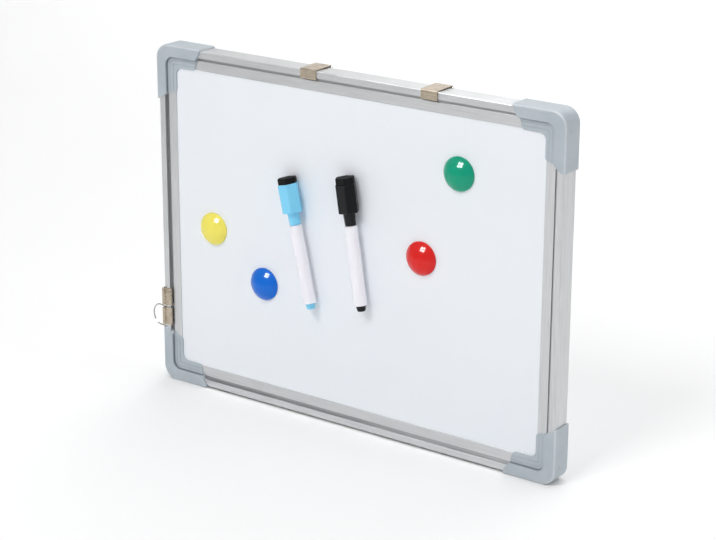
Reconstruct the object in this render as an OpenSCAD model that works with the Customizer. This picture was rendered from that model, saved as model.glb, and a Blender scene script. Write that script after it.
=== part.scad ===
// Double-sided magnetic hanging whiteboard in an aluminium frame, with moulded corner caps,
// sliding spring-steel hooks, button magnets and two capped markers.
// Millimetres, +Z up, writing side facing -Y, board standing on its bottom caps at Z = 0.
// The origin is the middle of the bounding box's bottom.

/* [Board] */
// Overall width over the corner caps
board_w = 400; // [330:1:900]
// Overall height over the corner caps
board_h = 300; // [260:1:600]
// Thickness of the honeycomb core
core_t = 11.2; // [6:0.1:11.4]
// Thickness of each lacquered steel sheet
sheet_t = 0.4; // [0.3:0.05:0.6]

/* [Frame rails] */
// Width of a rail seen from the front
rail_w = 17; // [15:0.1:20]
// Depth of a rail from front to back
rail_d = 18; // [17:0.1:24]
// Wall of the extrusion
rail_wall = 1.2; // [0.9:0.05:1.3]
// Radius of the rail's outer edges
rail_edge_r = 1; // [0.5:0.1:1.5]
// Width of the raised outer band
band_w = 6; // [5.5:0.1:6.4]
// Width of the hook groove beside the band
groove_w = 2.6; // [2.2:0.1:3]
// Depth of the groove below the band
groove_depth = 3.1; // [2.4:0.05:3.4]
// How much lower the thin inner band lies than the outer one
band_drop = 2.2; // [1.6:0.05:2.3]
// Clearance between the panel and its channel
panel_fit = 0.1; // [0.05:0.01:0.15]
// From the frame's outer corner to a rail's sawn end
rail_setback = 24; // [19:0.5:28]

/* [Corner caps] */
// Wall of the sleeve that wraps the rail
cap_wall = 1.6; // [1.2:0.05:2]
// Clearance between the sleeve and the rail
cap_fit = 0.1; // [0.05:0.01:0.2]
// Wall over the rail's inner band, beside the step
cap_inner_wall = 1.1; // [1:0.05:1.3]
// Wall of the leg's inner side
cap_side_wall = 0.9; // [0.7:0.05:1.2]
// Length of a leg along its outer edge
cap_leg = 47.5; // [42:0.5:60]
// Square part of the leg end next to the outer edge
cap_square = 1.5; // [1:0.1:2]
// How far in the leg end starts to slant strongly
cap_slant_at = 4.8; // [4:0.1:6]
// How much shorter the leg is there
cap_slant_cut = 1.1; // [0.6:0.1:2]
// How much shorter the leg is at the step
cap_mid_cut = 5.3; // [3:0.1:6]
// How much shorter the leg is along its inner edge
cap_inner_cut = 7.3; // [6.5:0.1:12]
// Outer corner radius seen from the front
cap_corner_r = 12.5; // [11:0.1:16]
// Radius of the step round the corner
cap_line_r = 7.5; // [6.5:0.1:10]
// Fillet at the inner corner
cap_fillet_r = 5.5; // [3:0.1:6]
// Rounding of the inner end of a leg
cap_tip_r = 3.5; // [1:0.1:4]
// Rounding of the outer edges
cap_edge_r = 2.2; // [1:0.1:3]
// Fine steps that run round the inner band
cap_step = 0.15; // [0.1:0.01:0.18]
// Length of the tongue inside the rail
tongue_len = 20; // [10:0.5:30]
// Clearance round the tongue
tongue_fit = 0.2; // [0.1:0.05:0.3]
// Radius of the moulding's gate mark
gate_r = 1.5; // [1:0.1:2]
// Depth of the gate mark
gate_depth = 0.3; // [0.2:0.05:0.4]

/* [Hooks] */
// Width of the hook strip
hook_w = 15.5; // [10:0.1:20]
// Thickness of the hook strip
hook_t = 0.8; // [0.6:0.05:0.9]
// Clearance between a hook and the rail
hook_gap = 0.15; // [0.1:0.01:0.25]
// How far a hook's legs come down the rail's faces
hook_reach = 7.6; // [7.3:0.1:8]
// How far a hook's lip reaches into the groove, from the rail's face
lip_depth = 1.25; // [1:0.05:1.35]
// Inside radius of the strip's bends
hook_bend_r = 0.4; // [0.3:0.05:0.5]
// Place of the left top hook along the board
top_hook_left_x = -39.5; // [-100:0.1:-20]
// Place of the right top hook along the board
top_hook_right_x = 77.2; // [20:0.1:120]
// Clearance between stacked hooks, rings and caps
stack_gap = 0.3; // [0.2:0.05:0.5]

/* [Hanging rings] */
// Diameter of the ring wire
wire_d = 1.2; // [1:0.05:1.4]
// Radial clearance of the wire in the hook's knuckle
knuckle_fit = 0.08; // [0.05:0.01:0.1]
// From the knuckle axis to the middle of the wire at the ring's end
ring_len = 13.6; // [12.5:0.1:30]
// Gap between a hook's edge and the wire beside it
ring_side_gap = 0.85; // [0.6:0.05:1.2]
// Bend radius of the wire at the knuckle, to its middle
ring_bend_r = 1.2; // [1:0.05:1.4]
// How far the side ring is swung towards the back
side_ring_swing = 8; // [0:1:40]

/* [Magnets] */
// Diameter of a button magnet
magnet_d = 28; // [25:0.1:40]
// Height of a button magnet
magnet_h = 8.5; // [7:0.1:9.5]
// Height of its straight rim
magnet_rim = 1.2; // [0.8:0.1:2]
// Wall of its dome
magnet_wall = 1.8; // [1.2:0.1:2]
// Diameter of its ferrite disc
disc_d = 20; // [12:0.1:21]
// Thickness of its ferrite disc
disc_t = 3; // [2:0.1:3.2]
// Width of the ledge that the disc is glued against
disc_ledge = 1.2; // [0.8:0.1:2]
// Clearance round a glued disc
disc_fit = 0.1; // [0.05:0.01:0.2]
// Gap between the steel sheet and what clings to it
seat_gap = 0.05; // [0.02:0.01:0.1]
// Yellow magnet, across and up from the board's bottom middle
yellow_at = [-143.2, 146.2];
// Blue magnet, across and up
blue_at = [-89, 107.7];
// Green magnet, across and up
green_at = [103.9, 236.1];
// Red magnet, across and up
red_at = [69.7, 161.2];

/* [Markers] */
// Width across the flats of the cap's hexagon
cap_af = 15.5; // [14.6:0.1:18]
// Height of the cap's hexagonal block
block_h = 24; // [21:0.1:30]
// Chamfer at the ends of the block
block_chamfer = 0.8; // [0.4:0.1:1.2]
// Length of the cap's round collar
collar_h = 10.5; // [8:0.1:14]
// Radius of the collar where it meets the block
collar_top_r = 5; // [4.8:0.05:5.4]
// Radius of the collar's open end
collar_end_r = 4.5; // [4.3:0.05:4.8]
// Radius of the cap's socket
socket_r = 3.7; // [3.4:0.05:3.9]
// Depth of the socket above the block's bottom
socket_up = 17; // [14:0.1:18]
// Thickness of the felt eraser
felt_h = 5; // [3:0.1:8]
// How much narrower the felt is than the block, each side
felt_inset = 0.6; // [0.3:0.05:1]
// Radius of the magnet in the cap's flat
cap_disc_r = 5; // [3:0.1:5.5]
// Thickness of the magnet in the cap's flat
cap_disc_t = 2.2; // [1.5:0.1:2.6]
// Height of that magnet's middle above the block's bottom
cap_disc_up = 12; // [8:0.1:14]
// Radius of the barrel
barrel_r = 5.3; // [5:0.05:6]
// Length of the barrel below the cap
barrel_len = 66; // [50:0.5:100]
// Wall of the barrel
barrel_wall = 1; // [0.7:0.05:1.1]
// Running clearance of the barrel's neck in the socket
neck_fit = 0.08; // [0.05:0.01:0.1]
// Gap between the cap's open end and the barrel's shoulder
shoulder_gap = 0.3; // [0.2:0.05:0.5]
// Length of the barrel's neck inside the cap
neck_len = 8.5; // [6:0.1:9.5]
// Radius of the nib
nib_r = 1.5; // [1:0.05:1.8]
// Length of the nib beyond the neck
nib_out = 10; // [8:0.1:12]
// Wall of the nib holder round the nib
holder_wall = 0.7; // [0.5:0.05:0.8]
// Radius of the ink reservoir
reservoir_r = 3.9; // [3:0.05:4]
// Length of the ink reservoir
reservoir_len = 50; // [30:0.5:54]
// Length of the end plug's visible part
plug_h = 5; // [3:0.1:8]
// Radius of the end plug at the barrel
plug_top_r = 4.2; // [3.6:0.05:4.6]
// Radius of the end plug's tip
plug_tip_r = 3.5; // [3:0.05:3.9]
// Length of the end plug inside the barrel
plug_in = 6; // [4:0.1:8]
// Clearance between parts pushed into the barrel
push_fit = 0.05; // [0.02:0.01:0.1]
// Light blue marker's cap, across and up at the block's bottom
blue_marker_at = [-52.3, 179.1];
// Lean of the light blue marker's top to the left
blue_marker_lean = 13; // [0:0.5:20]
// Black marker's cap, across and up at the block's bottom
black_marker_at = [4.4, 189];
// Lean of the black marker's top to the left
black_marker_lean = 9; // [0:0.5:20]

/* [Hidden] */
$fn = 64;
eps = 0.01;
far = 200;

cap_w = cap_wall + rail_w + cap_side_wall;
cap_d = rail_d + 2 * cap_wall;
frame_w = board_w - 2 * cap_wall;
frame_h = board_h - 2 * cap_wall;
half_d = rail_d / 2;
sheet_face = core_t / 2 + sheet_t;
mouth = sheet_face + panel_fit;
inner_face = half_d - band_drop;
groove_floor = half_d - groove_depth;
groove_end = band_w + groove_w;
channel_at = groove_end + rail_wall;
panel_w = frame_w - 2 * (channel_at + 2 * panel_fit);
panel_h = frame_h - 2 * (channel_at + 2 * panel_fit);

line_at = cap_wall + groove_end;
rail_end = cap_wall + rail_setback;
cap_inner_face = inner_face + cap_inner_wall;

wire_r = wire_d / 2;
bend_r = hook_bend_r + hook_t / 2;
knuckle_r = wire_r + knuckle_fit + hook_t / 2;
leg_y = half_d + hook_gap + hook_t / 2;
knuckle_y = leg_y + bend_r;
first_bend_z = hook_gap + hook_t / 2 - bend_r;
plate_run = leg_y - bend_r + knuckle_y;
plate_span = norm([plate_run, first_bend_z]);
plate_slope = asin((knuckle_r - bend_r) / plate_span) - atan2(first_bend_z, plate_run);
plate_len = sqrt(pow(plate_span, 2) - pow(knuckle_r - bend_r, 2));
lip_z = -(hook_reach - hook_t / 2);
ring_half = hook_w / 2 + ring_side_gap + wire_r;
ring_out = ring_half + wire_r;

frame_top = board_h - cap_wall;
frame_left = -frame_w / 2;
side_hook_lower_z = cap_leg + stack_gap + ring_out;
side_hook_upper_z = side_hook_lower_z + ring_out + stack_gap + hook_w / 2;

dome_rise = magnet_h - magnet_rim;
dome_r = (pow(magnet_d / 2, 2) + pow(dome_rise, 2)) / (2 * dome_rise);
marker_y = -(sheet_face + seat_gap + cap_af / 2);
barrel_top = -collar_h - shoulder_gap;
barrel_end = barrel_top - barrel_len;
bore_r = barrel_r - barrel_wall;
neck_r = socket_r - neck_fit;
neck_top = barrel_top + neck_len;
neck_bore_r = nib_r + holder_wall + 2 * push_fit;

// Middle of the whole object's box, which is where the origin lies
origin_x = (board_w / 2 - frame_w / 2 - ring_len * cos(side_ring_swing) - wire_r) / 2;
origin_y = (knuckle_y + knuckle_r + hook_t / 2 + marker_y - cap_af / 2) / 2;

// ---------------------------------------------------------------- placing

// Puts a piece that is drawn about the board's bottom middle into the object's own frame
module in_frame() {
    translate([-origin_x, -origin_y, 0]) children();
}

// A flat drawing in X and Z, d thick across the board
module across(d) {
    rotate([90, 0, 0]) linear_extrude(d, center = true) children();
}

// A flat drawing in Y and Z, w long along the board
module along(w) {
    rotate([90, 0, 90]) linear_extrude(w, center = true) children();
}

// ---------------------------------------------------------------- panel

module panel_layer(t, y) {
    in_frame()
        translate([-panel_w / 2, y - t / 2, (board_h - panel_h) / 2])
            cube([panel_w, t, panel_h]);
}

module front_sheet() {
    color("#e6e9ec") panel_layer(sheet_t, -(core_t + sheet_t) / 2);
}

module core_panel() {
    color("#c9a878") panel_layer(core_t, 0);
}

module back_sheet() {
    color("#e6e9ec") panel_layer(sheet_t, (core_t + sheet_t) / 2);
}

// ---------------------------------------------------------------- rails

// Both sides of the profile between two distances from the rail's outer face
module strip_2d(from, to, half) {
    translate([from, -half]) square([to - from, 2 * half]);
}

// Section of the extrusion: X runs inwards from the outer face, Y is the depth
module rail_section() {
    deep = half_d - rail_wall;
    shallow = groove_floor - rail_wall;
    difference() {
        union() {
            // Raised outer band with round outer edges
            strip_2d(rail_edge_r, band_w, half_d);
            strip_2d(0, 2 * rail_edge_r, half_d - rail_edge_r);
            for (s = [-1, 1])
                translate([rail_edge_r, s * (half_d - rail_edge_r)]) circle(rail_edge_r);
            // Groove floor and thin inner band
            strip_2d(rail_edge_r, channel_at, groove_floor);
            strip_2d(groove_end, rail_w, inner_face);
        }
        // Chamber for the corner caps' tongues
        strip_2d(rail_wall, band_w - rail_wall, deep);
        strip_2d(rail_wall, groove_end, shallow);
        // Channel for the panel
        strip_2d(channel_at, rail_w + 1, mouth);
    }
}

module long_rail() {
    rotate([0, -90, 0])
        linear_extrude(frame_w - 2 * rail_setback, center = true) rail_section();
}

module short_rail() {
    linear_extrude(frame_h - 2 * rail_setback, center = true) rail_section();
}

module bottom_rail() {
    color("#d9dbdf") in_frame() translate([0, 0, cap_wall]) long_rail();
}

module top_rail() {
    color("#c4c5c3") in_frame()
        translate([0, 0, frame_top]) mirror([0, 0, 1]) long_rail();
}

module left_rail() {
    color("#b9b8b6") in_frame() translate([frame_left, 0, board_h / 2]) short_rail();
}

module right_rail() {
    color("#d0d1d4") in_frame()
        translate([-frame_left, 0, board_h / 2]) mirror([1, 0, 0]) short_rail();
}

// ---------------------------------------------------------------- corner caps
// Drawn for the lower left corner: the outer corner at X = Z = 0, the legs along +X and +Z.

// Everything at least w in from both outer edges, with a corner of radius r
module inside_2d(w, r) {
    translate([w + r, w + r]) circle(r);
    translate([w + r, w]) square([far, far]);
    translate([w, w + r]) square([far, far]);
}

// Both halves of something drawn on the X leg: as drawn, and turned onto the Z leg
module both_legs() {
    children();
    mirror([1, 0, -1]) children();
}

// Section of a leg: X runs inwards from the outer edge, Y is the depth
module cap_section() {
    half = cap_d / 2;
    translate([cap_edge_r, -half]) square([cap_w - cap_edge_r, cap_d]);
    translate([0, cap_edge_r - half]) square([2 * cap_edge_r, cap_d - 2 * cap_edge_r]);
    for (s = [-1, 1])
        translate([cap_edge_r, s * (half - cap_edge_r)]) circle(cap_edge_r);
}

// The rounded outer corner, turned about the corner's own axis
module cap_corner_turn() {
    translate([cap_corner_r, 0, cap_corner_r])
        rotate([90, 0, 0]) rotate([0, 0, 180])
            rotate_extrude(angle = 90)
                intersection() {
                    translate([cap_corner_r, 0]) mirror([1, 0]) cap_section();
                    translate([0, -cap_d]) square([cap_corner_r, 2 * cap_d]);
                }
}

// What is sawn off the end of the X leg, seen from the front
module leg_end_2d() {
    tip = cap_leg - cap_inner_cut;
    mid = cap_leg - cap_mid_cut;
    lean = atan2(mid - tip, cap_w - line_at);
    tangent = cap_tip_r * tan((90 - lean) / 2);
    beyond = cap_tip_r + 1;
    polygon([
        [cap_leg, -1], [cap_leg, cap_square], [cap_leg - cap_slant_cut, cap_slant_at],
        [mid, line_at], [tip, cap_w], [tip, far], [far, far], [far, -1]
    ]);
    // Rounded inner tip
    translate([tip - tangent, cap_w - cap_tip_r])
        difference() {
            polygon([
                [0, 0], [0, beyond], [beyond, beyond], beyond * [cos(lean), sin(lean)]
            ]);
            circle(cap_tip_r);
        }
}

module cap_body() {
    both_legs()
        translate([cap_corner_r, 0, 0])
            rotate([0, 90, 0]) mirror([1, 0, 0])
                linear_extrude(cap_leg - cap_corner_r) cap_section();
    cap_corner_turn();
    // Inner fillet
    across(2 * cap_inner_face)
        difference() {
            translate([cap_w - eps, cap_w - eps]) square(cap_fillet_r + eps);
            translate([cap_w + cap_fillet_r, cap_w + cap_fillet_r]) circle(cap_fillet_r);
        }
}

// A flat cut from both faces, going down to y from the middle
module face_cut(y) {
    for (s = [-1, 1])
        translate([0, s * (y + cap_d / 2), 0]) across(cap_d) children();
}

module tongue() {
    across_half = groove_floor - rail_wall - tongue_fit;
    low = cap_wall + rail_wall + tongue_fit;
    high = cap_wall + groove_end - tongue_fit;
    lead = 1;
    translate([rail_end - lead, 0, 0])
        across(2 * across_half)
            polygon([
                [0, low], [tongue_len, low], [tongue_len + lead, low + lead],
                [tongue_len + lead, high - lead], [tongue_len, high], [0, high]
            ]);
}

// Room for the rail's end in the X leg: the rail's own outline and a clearance
module sleeve() {
    translate([rail_end - cap_fit, 0, cap_wall])
        rotate([0, 90, 0]) mirror([1, 0, 0])
            linear_extrude(far) {
                strip_2d(-cap_fit, band_w + cap_fit, half_d + cap_fit);
                strip_2d(0, groove_end, groove_floor + cap_fit);
                strip_2d(groove_end - cap_fit, rail_w + cap_fit, inner_face + cap_fit);
            }
}

module corner_cap() {
    bands = 3;
    band_step = (cap_w - line_at) / bands;
    panel_corner = cap_wall + channel_at;
    difference() {
        cap_body();
        // The step down to the inner band, then fine steps round it
        for (i = [0:bands - 1])
            face_cut(cap_inner_face - i * cap_step)
                inside_2d(line_at + i * band_step, cap_line_r - i * band_step);
        both_legs() across(2 * cap_d) leg_end_2d();
        both_legs() sleeve();
        // Room for the panel's corner
        translate([panel_corner, -mouth, panel_corner]) cube([far, 2 * mouth, far]);
        // Gate mark on the side
        translate([-eps, -rail_d / 4, cap_corner_r + 2 * gate_r])
            rotate([0, 90, 0]) cylinder(r = gate_r, h = gate_depth + eps);
    }
    both_legs() tongue();
}

module cap_at_corner(left, low) {
    color("#acb8c2") in_frame()
        translate([(left ? -1 : 1) * board_w / 2, 0, low ? 0 : board_h])
            mirror([left ? 0 : 1, 0, 0]) mirror([0, 0, low ? 0 : 1]) corner_cap();
}

module corner_top_left() {
    cap_at_corner(left = true, low = false);
}

module corner_top_right() {
    cap_at_corner(left = false, low = false);
}

module corner_bottom_left() {
    cap_at_corner(left = true, low = true);
}

module corner_bottom_right() {
    cap_at_corner(left = false, low = true);
}

// ---------------------------------------------------------------- hooks and rings
// Drawn on a top rail: its outer face at Z = 0, the hook's middle at X = 0, the knuckle at +Y.

// Part of a flat ring about the origin, r to its middle, from angle a to angle b
module arc_2d(r, t, a, b) {
    reach = 2 * (r + t);
    steps = ceil(abs(b - a) / 60);
    intersection() {
        difference() {
            circle(r + t / 2);
            circle(r - t / 2);
        }
        polygon(concat(
            [[0, 0]],
            [for (i = [0:steps]) let (g = a + (b - a) * i / steps) reach * [cos(g), sin(g)]]
        ));
    }
}

// Bent strip seen edge on, along +X: each step is [straight length, bend radius, turn],
// with the radius to the strip's middle and a positive turn to the left
module bent_strip(steps, t, i = 0) {
    if (i < len(steps)) {
        run = steps[i][0];
        r = steps[i][1];
        turn = steps[i][2];
        side = sign(turn);
        translate([-eps, -t / 2]) square([run + 2 * eps, t]);
        translate([run, side * r]) {
            if (turn != 0)
                arc_2d(r, t, -90 * side, -90 * side + turn);
            rotate(turn) translate([0, -side * r]) bent_strip(steps, t, i + 1);
        }
    }
}

module hook_strip() {
    lip_run = leg_y - bend_r - (half_d - lip_depth);
    // Front lip, front leg, sloping plate, knuckle, rear leg, rear lip
    along(hook_w)
        translate([-(half_d - lip_depth), lip_z])
            rotate(180)
                bent_strip([
                    [lip_run, bend_r, -90],
                    [first_bend_z - bend_r - lip_z, bend_r, plate_slope - 90],
                    [plate_len, knuckle_r, -180 - plate_slope],
                    [0, bend_r, 90],
                    [-lip_z - knuckle_r - 2 * bend_r, bend_r, -90],
                    [lip_run, 0, 0]
                ], hook_t);
}

// Wire ring hanging from the knuckle: a straight back, two arms and a round end
module wire_ring() {
    arm = ring_len - ring_half;
    corner = ring_half - ring_bend_r;
    translate([0, knuckle_y, 0]) {
        rotate([0, 90, 0]) cylinder(r = wire_r, h = 2 * corner, center = true);
        for (s = [0, 1])
            mirror([s, 0, 0]) {
                translate([corner, 0, -ring_bend_r])
                    rotate([90, 0, 0])
                        rotate_extrude(angle = 90) translate([ring_bend_r, 0]) circle(wire_r);
                translate([ring_half, 0, -arm]) cylinder(r = wire_r, h = arm - ring_bend_r);
            }
        translate([0, 0, -arm])
            rotate([90, 0, 0]) rotate([0, 0, 180])
                rotate_extrude(angle = 180) translate([ring_half, 0]) circle(wire_r);
    }
}

// The same ring swung about the knuckle
module swung_ring(angle) {
    translate([0, knuckle_y, 0]) rotate([angle, 0, 0]) translate([0, -knuckle_y, 0]) wire_ring();
}

module on_top(x) {
    color("#a39a8c") in_frame() translate([x, 0, frame_top]) children();
}

// On the left rail the hooks face the other way, so that the knuckle is in front
module on_left(z) {
    color("#a39a8c") in_frame()
        translate([frame_left, 0, z]) rotate([0, -90, 0]) mirror([0, 1, 0]) children();
}

module top_hook_left() {
    on_top(top_hook_left_x) hook_strip();
}

module top_hook_right() {
    on_top(top_hook_right_x) hook_strip();
}

module side_hook_lower() {
    on_left(side_hook_lower_z) hook_strip();
}

module side_hook_upper() {
    on_left(side_hook_upper_z) hook_strip();
}

module ring_top_left() {
    on_top(top_hook_left_x) wire_ring();
}

module ring_top_right() {
    on_top(top_hook_right_x) wire_ring();
}

module ring_side() {
    on_left(side_hook_lower_z) swung_ring(180 + side_ring_swing);
}

// ---------------------------------------------------------------- button magnets
// Drawn with the seat at Z = 0 and the dome upwards.

module on_sheet(at) {
    in_frame() translate([at[0], -sheet_face - seat_gap, at[1]]) rotate([90, 0, 0]) children();
}

// Half section of a body under a round dome, to radius r
module dome_2d(r, crown_r, crown_top) {
    intersection() {
        square([r, crown_top]);
        translate([0, crown_top - crown_r]) circle(crown_r, $fn = 96);
    }
}

module magnet_dome() {
    pocket_r = disc_d / 2 + disc_fit;
    ledge_z = disc_t + disc_fit;
    rotate_extrude()
        difference() {
            dome_2d(magnet_d / 2, dome_r, magnet_h);
            square([pocket_r, ledge_z]);
            dome_2d(pocket_r - disc_ledge, dome_r - magnet_wall, magnet_h - magnet_wall);
        }
}

module magnet_disc() {
    cylinder(d = disc_d, h = disc_t);
}

module magnet_yellow() {
    color("#ebe36c") on_sheet(yellow_at) magnet_dome();
}

module magnet_blue() {
    color("#1470d8") on_sheet(blue_at) magnet_dome();
}

module magnet_green() {
    color("#00a078") on_sheet(green_at) magnet_dome();
}

module magnet_red() {
    color("#dc2d26") on_sheet(red_at) magnet_dome();
}

module magnet_yellow_disc() {
    color("#3a3a3c") on_sheet(yellow_at) magnet_disc();
}

module magnet_blue_disc() {
    color("#3a3a3c") on_sheet(blue_at) magnet_disc();
}

module magnet_green_disc() {
    color("#3a3a3c") on_sheet(green_at) magnet_disc();
}

module magnet_red_disc() {
    color("#3a3a3c") on_sheet(red_at) magnet_disc();
}

// ---------------------------------------------------------------- markers
// Drawn upright: the axis along Z, the cap block's bottom at Z = 0, the board at +Y.

module marker_placed(at, lean) {
    in_frame() translate([at[0], marker_y, at[1]]) rotate([0, -lean, 0]) children();
}

// Hexagonal block with a flat towards the board and every end edge chamfered
module marker_block() {
    half = cap_af / 2;
    inner = half - block_chamfer;
    top = block_h - block_chamfer;
    intersection_for(turn = [30, 90, 150])
        rotate([0, 0, turn])
            across(2 * cap_af)
                polygon([
                    [-inner, 0], [inner, 0], [half, block_chamfer], [half, top],
                    [inner, block_h], [-inner, block_h], [-half, top], [-half, block_chamfer]
                ]);
}

module marker_cap() {
    difference() {
        union() {
            marker_block();
            translate([0, 0, -collar_h])
                cylinder(r1 = collar_end_r, r2 = collar_top_r, h = collar_h + block_chamfer);
        }
        translate([0, 0, -collar_h - eps]) cylinder(r = socket_r, h = collar_h + socket_up + eps);
        translate([0, cap_af / 2 - cap_disc_t - disc_fit, cap_disc_up])
            rotate([-90, 0, 0]) cylinder(r = cap_disc_r + disc_fit, h = cap_disc_t + 1);
    }
}

module marker_eraser() {
    felt_corner = (cap_af / 2 - felt_inset) / cos(30);
    translate([0, 0, block_h]) linear_extrude(felt_h) circle(felt_corner, $fn = 6);
}

module marker_cap_magnet() {
    translate([0, cap_af / 2 - cap_disc_t, cap_disc_up])
        rotate([-90, 0, 0]) cylinder(r = cap_disc_r, h = cap_disc_t);
}

module marker_barrel() {
    difference() {
        union() {
            translate([0, 0, barrel_end]) cylinder(r = barrel_r, h = barrel_len);
            translate([0, 0, barrel_top - eps]) cylinder(r = neck_r, h = neck_len + eps);
        }
        translate([0, 0, barrel_end - eps])
            cylinder(r = bore_r, h = barrel_len - barrel_wall + eps);
        translate([0, 0, barrel_top - 2 * barrel_wall])
            cylinder(r = neck_bore_r, h = neck_len + 3 * barrel_wall);
    }
}

module marker_end_plug() {
    translate([0, 0, barrel_end - plug_h]) cylinder(r1 = plug_tip_r, r2 = plug_top_r, h = plug_h);
    translate([0, 0, barrel_end - eps]) cylinder(r = bore_r - push_fit, h = plug_in + eps);
}

// The nib holder: a tube in the neck, a flange on its end and a cone round the nib
module marker_nib_holder() {
    tube_r = neck_bore_r - push_fit;
    cone_h = nib_out * 0.6;
    flange_h = 1;
    difference() {
        union() {
            translate([0, 0, barrel_top]) cylinder(r = tube_r, h = neck_len + eps);
            translate([0, 0, neck_top]) cylinder(r = neck_r - holder_wall, h = flange_h);
            translate([0, 0, neck_top + flange_h - eps])
                cylinder(r1 = tube_r, r2 = nib_r + holder_wall / 2, h = cone_h - flange_h + eps);
        }
        translate([0, 0, barrel_top - eps])
            cylinder(r = nib_r + push_fit, h = neck_len + nib_out);
    }
}

module marker_nib() {
    foot = barrel_top - barrel_wall;
    shoulder = neck_top + nib_out - nib_r;
    translate([0, 0, foot]) cylinder(r = nib_r, h = shoulder - foot);
    translate([0, 0, shoulder]) cylinder(r1 = nib_r, r2 = nib_r / 2, h = nib_r);
}

module marker_reservoir() {
    translate([0, 0, barrel_top - 2 * barrel_wall - reservoir_len])
        cylinder(r = reservoir_r, h = reservoir_len);
}

module on_blue() {
    marker_placed(blue_marker_at, blue_marker_lean) children();
}

module on_black() {
    marker_placed(black_marker_at, black_marker_lean) children();
}

module marker_blue_cap() {
    color("#7cccf2") on_blue() marker_cap();
}

module marker_blue_eraser() {
    color("#1c1c1f") on_blue() marker_eraser();
}

module marker_blue_cap_magnet() {
    color("#3a3a3c") on_blue() marker_cap_magnet();
}

module marker_blue_barrel() {
    color("#eceaf4") on_blue() marker_barrel();
}

module marker_blue_end_plug() {
    color("#58bdf0") on_blue() marker_end_plug();
}

module marker_blue_nib() {
    color("#2f8fd6") on_blue() marker_nib();
}

module marker_blue_nib_holder() {
    color("#f4f4f6") on_blue() marker_nib_holder();
}

module marker_blue_reservoir() {
    color("#3a9be0") on_blue() marker_reservoir();
}

module marker_black_cap() {
    color("#33373a") on_black() marker_cap();
}

module marker_black_eraser() {
    color("#1c1c1f") on_black() marker_eraser();
}

module marker_black_cap_magnet() {
    color("#3a3a3c") on_black() marker_cap_magnet();
}

module marker_black_barrel() {
    color("#eceaf4") on_black() marker_barrel();
}

module marker_black_end_plug() {
    color("#26282a") on_black() marker_end_plug();
}

module marker_black_nib() {
    color("#1a1a1c") on_black() marker_nib();
}

module marker_black_nib_holder() {
    color("#f4f4f6") on_black() marker_nib_holder();
}

module marker_black_reservoir() {
    color("#2a2a30") on_black() marker_reservoir();
}

// ---------------------------------------------------------------- nodes

front_sheet();
core_panel();
back_sheet();
top_rail();
bottom_rail();
left_rail();
right_rail();
corner_top_left();
corner_top_right();
corner_bottom_left();
corner_bottom_right();
top_hook_left();
top_hook_right();
side_hook_lower();
side_hook_upper();
ring_top_left();
ring_top_right();
ring_side();
magnet_yellow();
magnet_blue();
magnet_green();
magnet_red();
magnet_yellow_disc();
magnet_blue_disc();
magnet_green_disc();
magnet_red_disc();
marker_blue_cap();
marker_blue_eraser();
marker_blue_cap_magnet();
marker_blue_barrel();
marker_blue_end_plug();
marker_blue_nib();
marker_blue_nib_holder();
marker_blue_reservoir();
marker_black_cap();
marker_black_eraser();
marker_black_cap_magnet();
marker_black_barrel();
marker_black_end_plug();
marker_black_nib();
marker_black_nib_holder();
marker_black_reservoir();
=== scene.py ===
"""Looks of the magnetic hanging whiteboard.

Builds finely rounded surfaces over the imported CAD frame, gives every piece a procedural material,
and sets up the pale floor, the soft studio light and the camera. Lengths are metres, +Z is up, and
the writing side faces -Y.
"""

from math import atan2, cos, hypot, pi, radians, sin, tan

import bpy
import numpy as np
from bpy.props import FloatProperty, FloatVectorProperty, PointerProperty
from bpy.types import NodeSocket, Operator, Panel, PropertyGroup
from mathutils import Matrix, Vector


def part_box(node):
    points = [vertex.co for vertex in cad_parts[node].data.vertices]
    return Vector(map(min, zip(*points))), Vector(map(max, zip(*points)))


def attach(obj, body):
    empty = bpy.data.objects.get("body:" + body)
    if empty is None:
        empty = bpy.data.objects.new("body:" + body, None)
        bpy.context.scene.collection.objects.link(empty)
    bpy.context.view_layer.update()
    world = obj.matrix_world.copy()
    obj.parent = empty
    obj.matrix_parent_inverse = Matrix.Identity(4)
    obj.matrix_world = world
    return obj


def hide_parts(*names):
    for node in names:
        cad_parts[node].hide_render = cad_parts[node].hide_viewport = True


bl_info = {
    "name": "Magnetic hanging whiteboard",
    "version": (1, 0, 0),
    "blender": (4, 5, 0),
    "location": "View3D > Sidebar > Whiteboard",
    "description": "Builds the looks of a framed whiteboard with hooks, magnets and markers",
    "category": "Add Mesh",
}

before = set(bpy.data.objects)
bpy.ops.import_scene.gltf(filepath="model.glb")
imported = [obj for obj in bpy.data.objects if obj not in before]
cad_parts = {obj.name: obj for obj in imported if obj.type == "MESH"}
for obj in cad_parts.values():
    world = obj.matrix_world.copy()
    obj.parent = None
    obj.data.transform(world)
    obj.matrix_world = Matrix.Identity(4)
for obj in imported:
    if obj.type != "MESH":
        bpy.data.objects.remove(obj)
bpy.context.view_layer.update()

MM = 0.001
QUARTER = pi / 2
SIDES = {
    "top": ("X", (0, 0, -1)),
    "bottom": ("X", (0, 0, 1)),
    "left": ("Z", (1, 0, 0)),
    "right": ("Z", (-1, 0, 0)),
}
MAGNETS = ("yellow", "blue", "green", "red")
MARKERS = ("blue", "black")
TOP_HOOKS = ("top_hook_left", "top_hook_right")
SIDE_HOOKS = ("side_hook_lower", "side_hook_upper")
FINISH = "_finish"


# ---------------------------------------------------------------- sizes and colours


def properties(kind, convert, rows, **options):
    """Annotations of properties, from rows of a name, a default and a description."""
    return {
        key: kind(name=name, description=text, default=convert(value), **options)
        for key, (name, value, text) in rows.items()
    }


def lengths(**rows):
    """Length properties, their defaults in millimetres."""
    options = {"unit": "LENGTH", "subtype": "DISTANCE", "precision": 5}
    return properties(FloatProperty, lambda value: value * MM, rows, **options)


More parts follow.
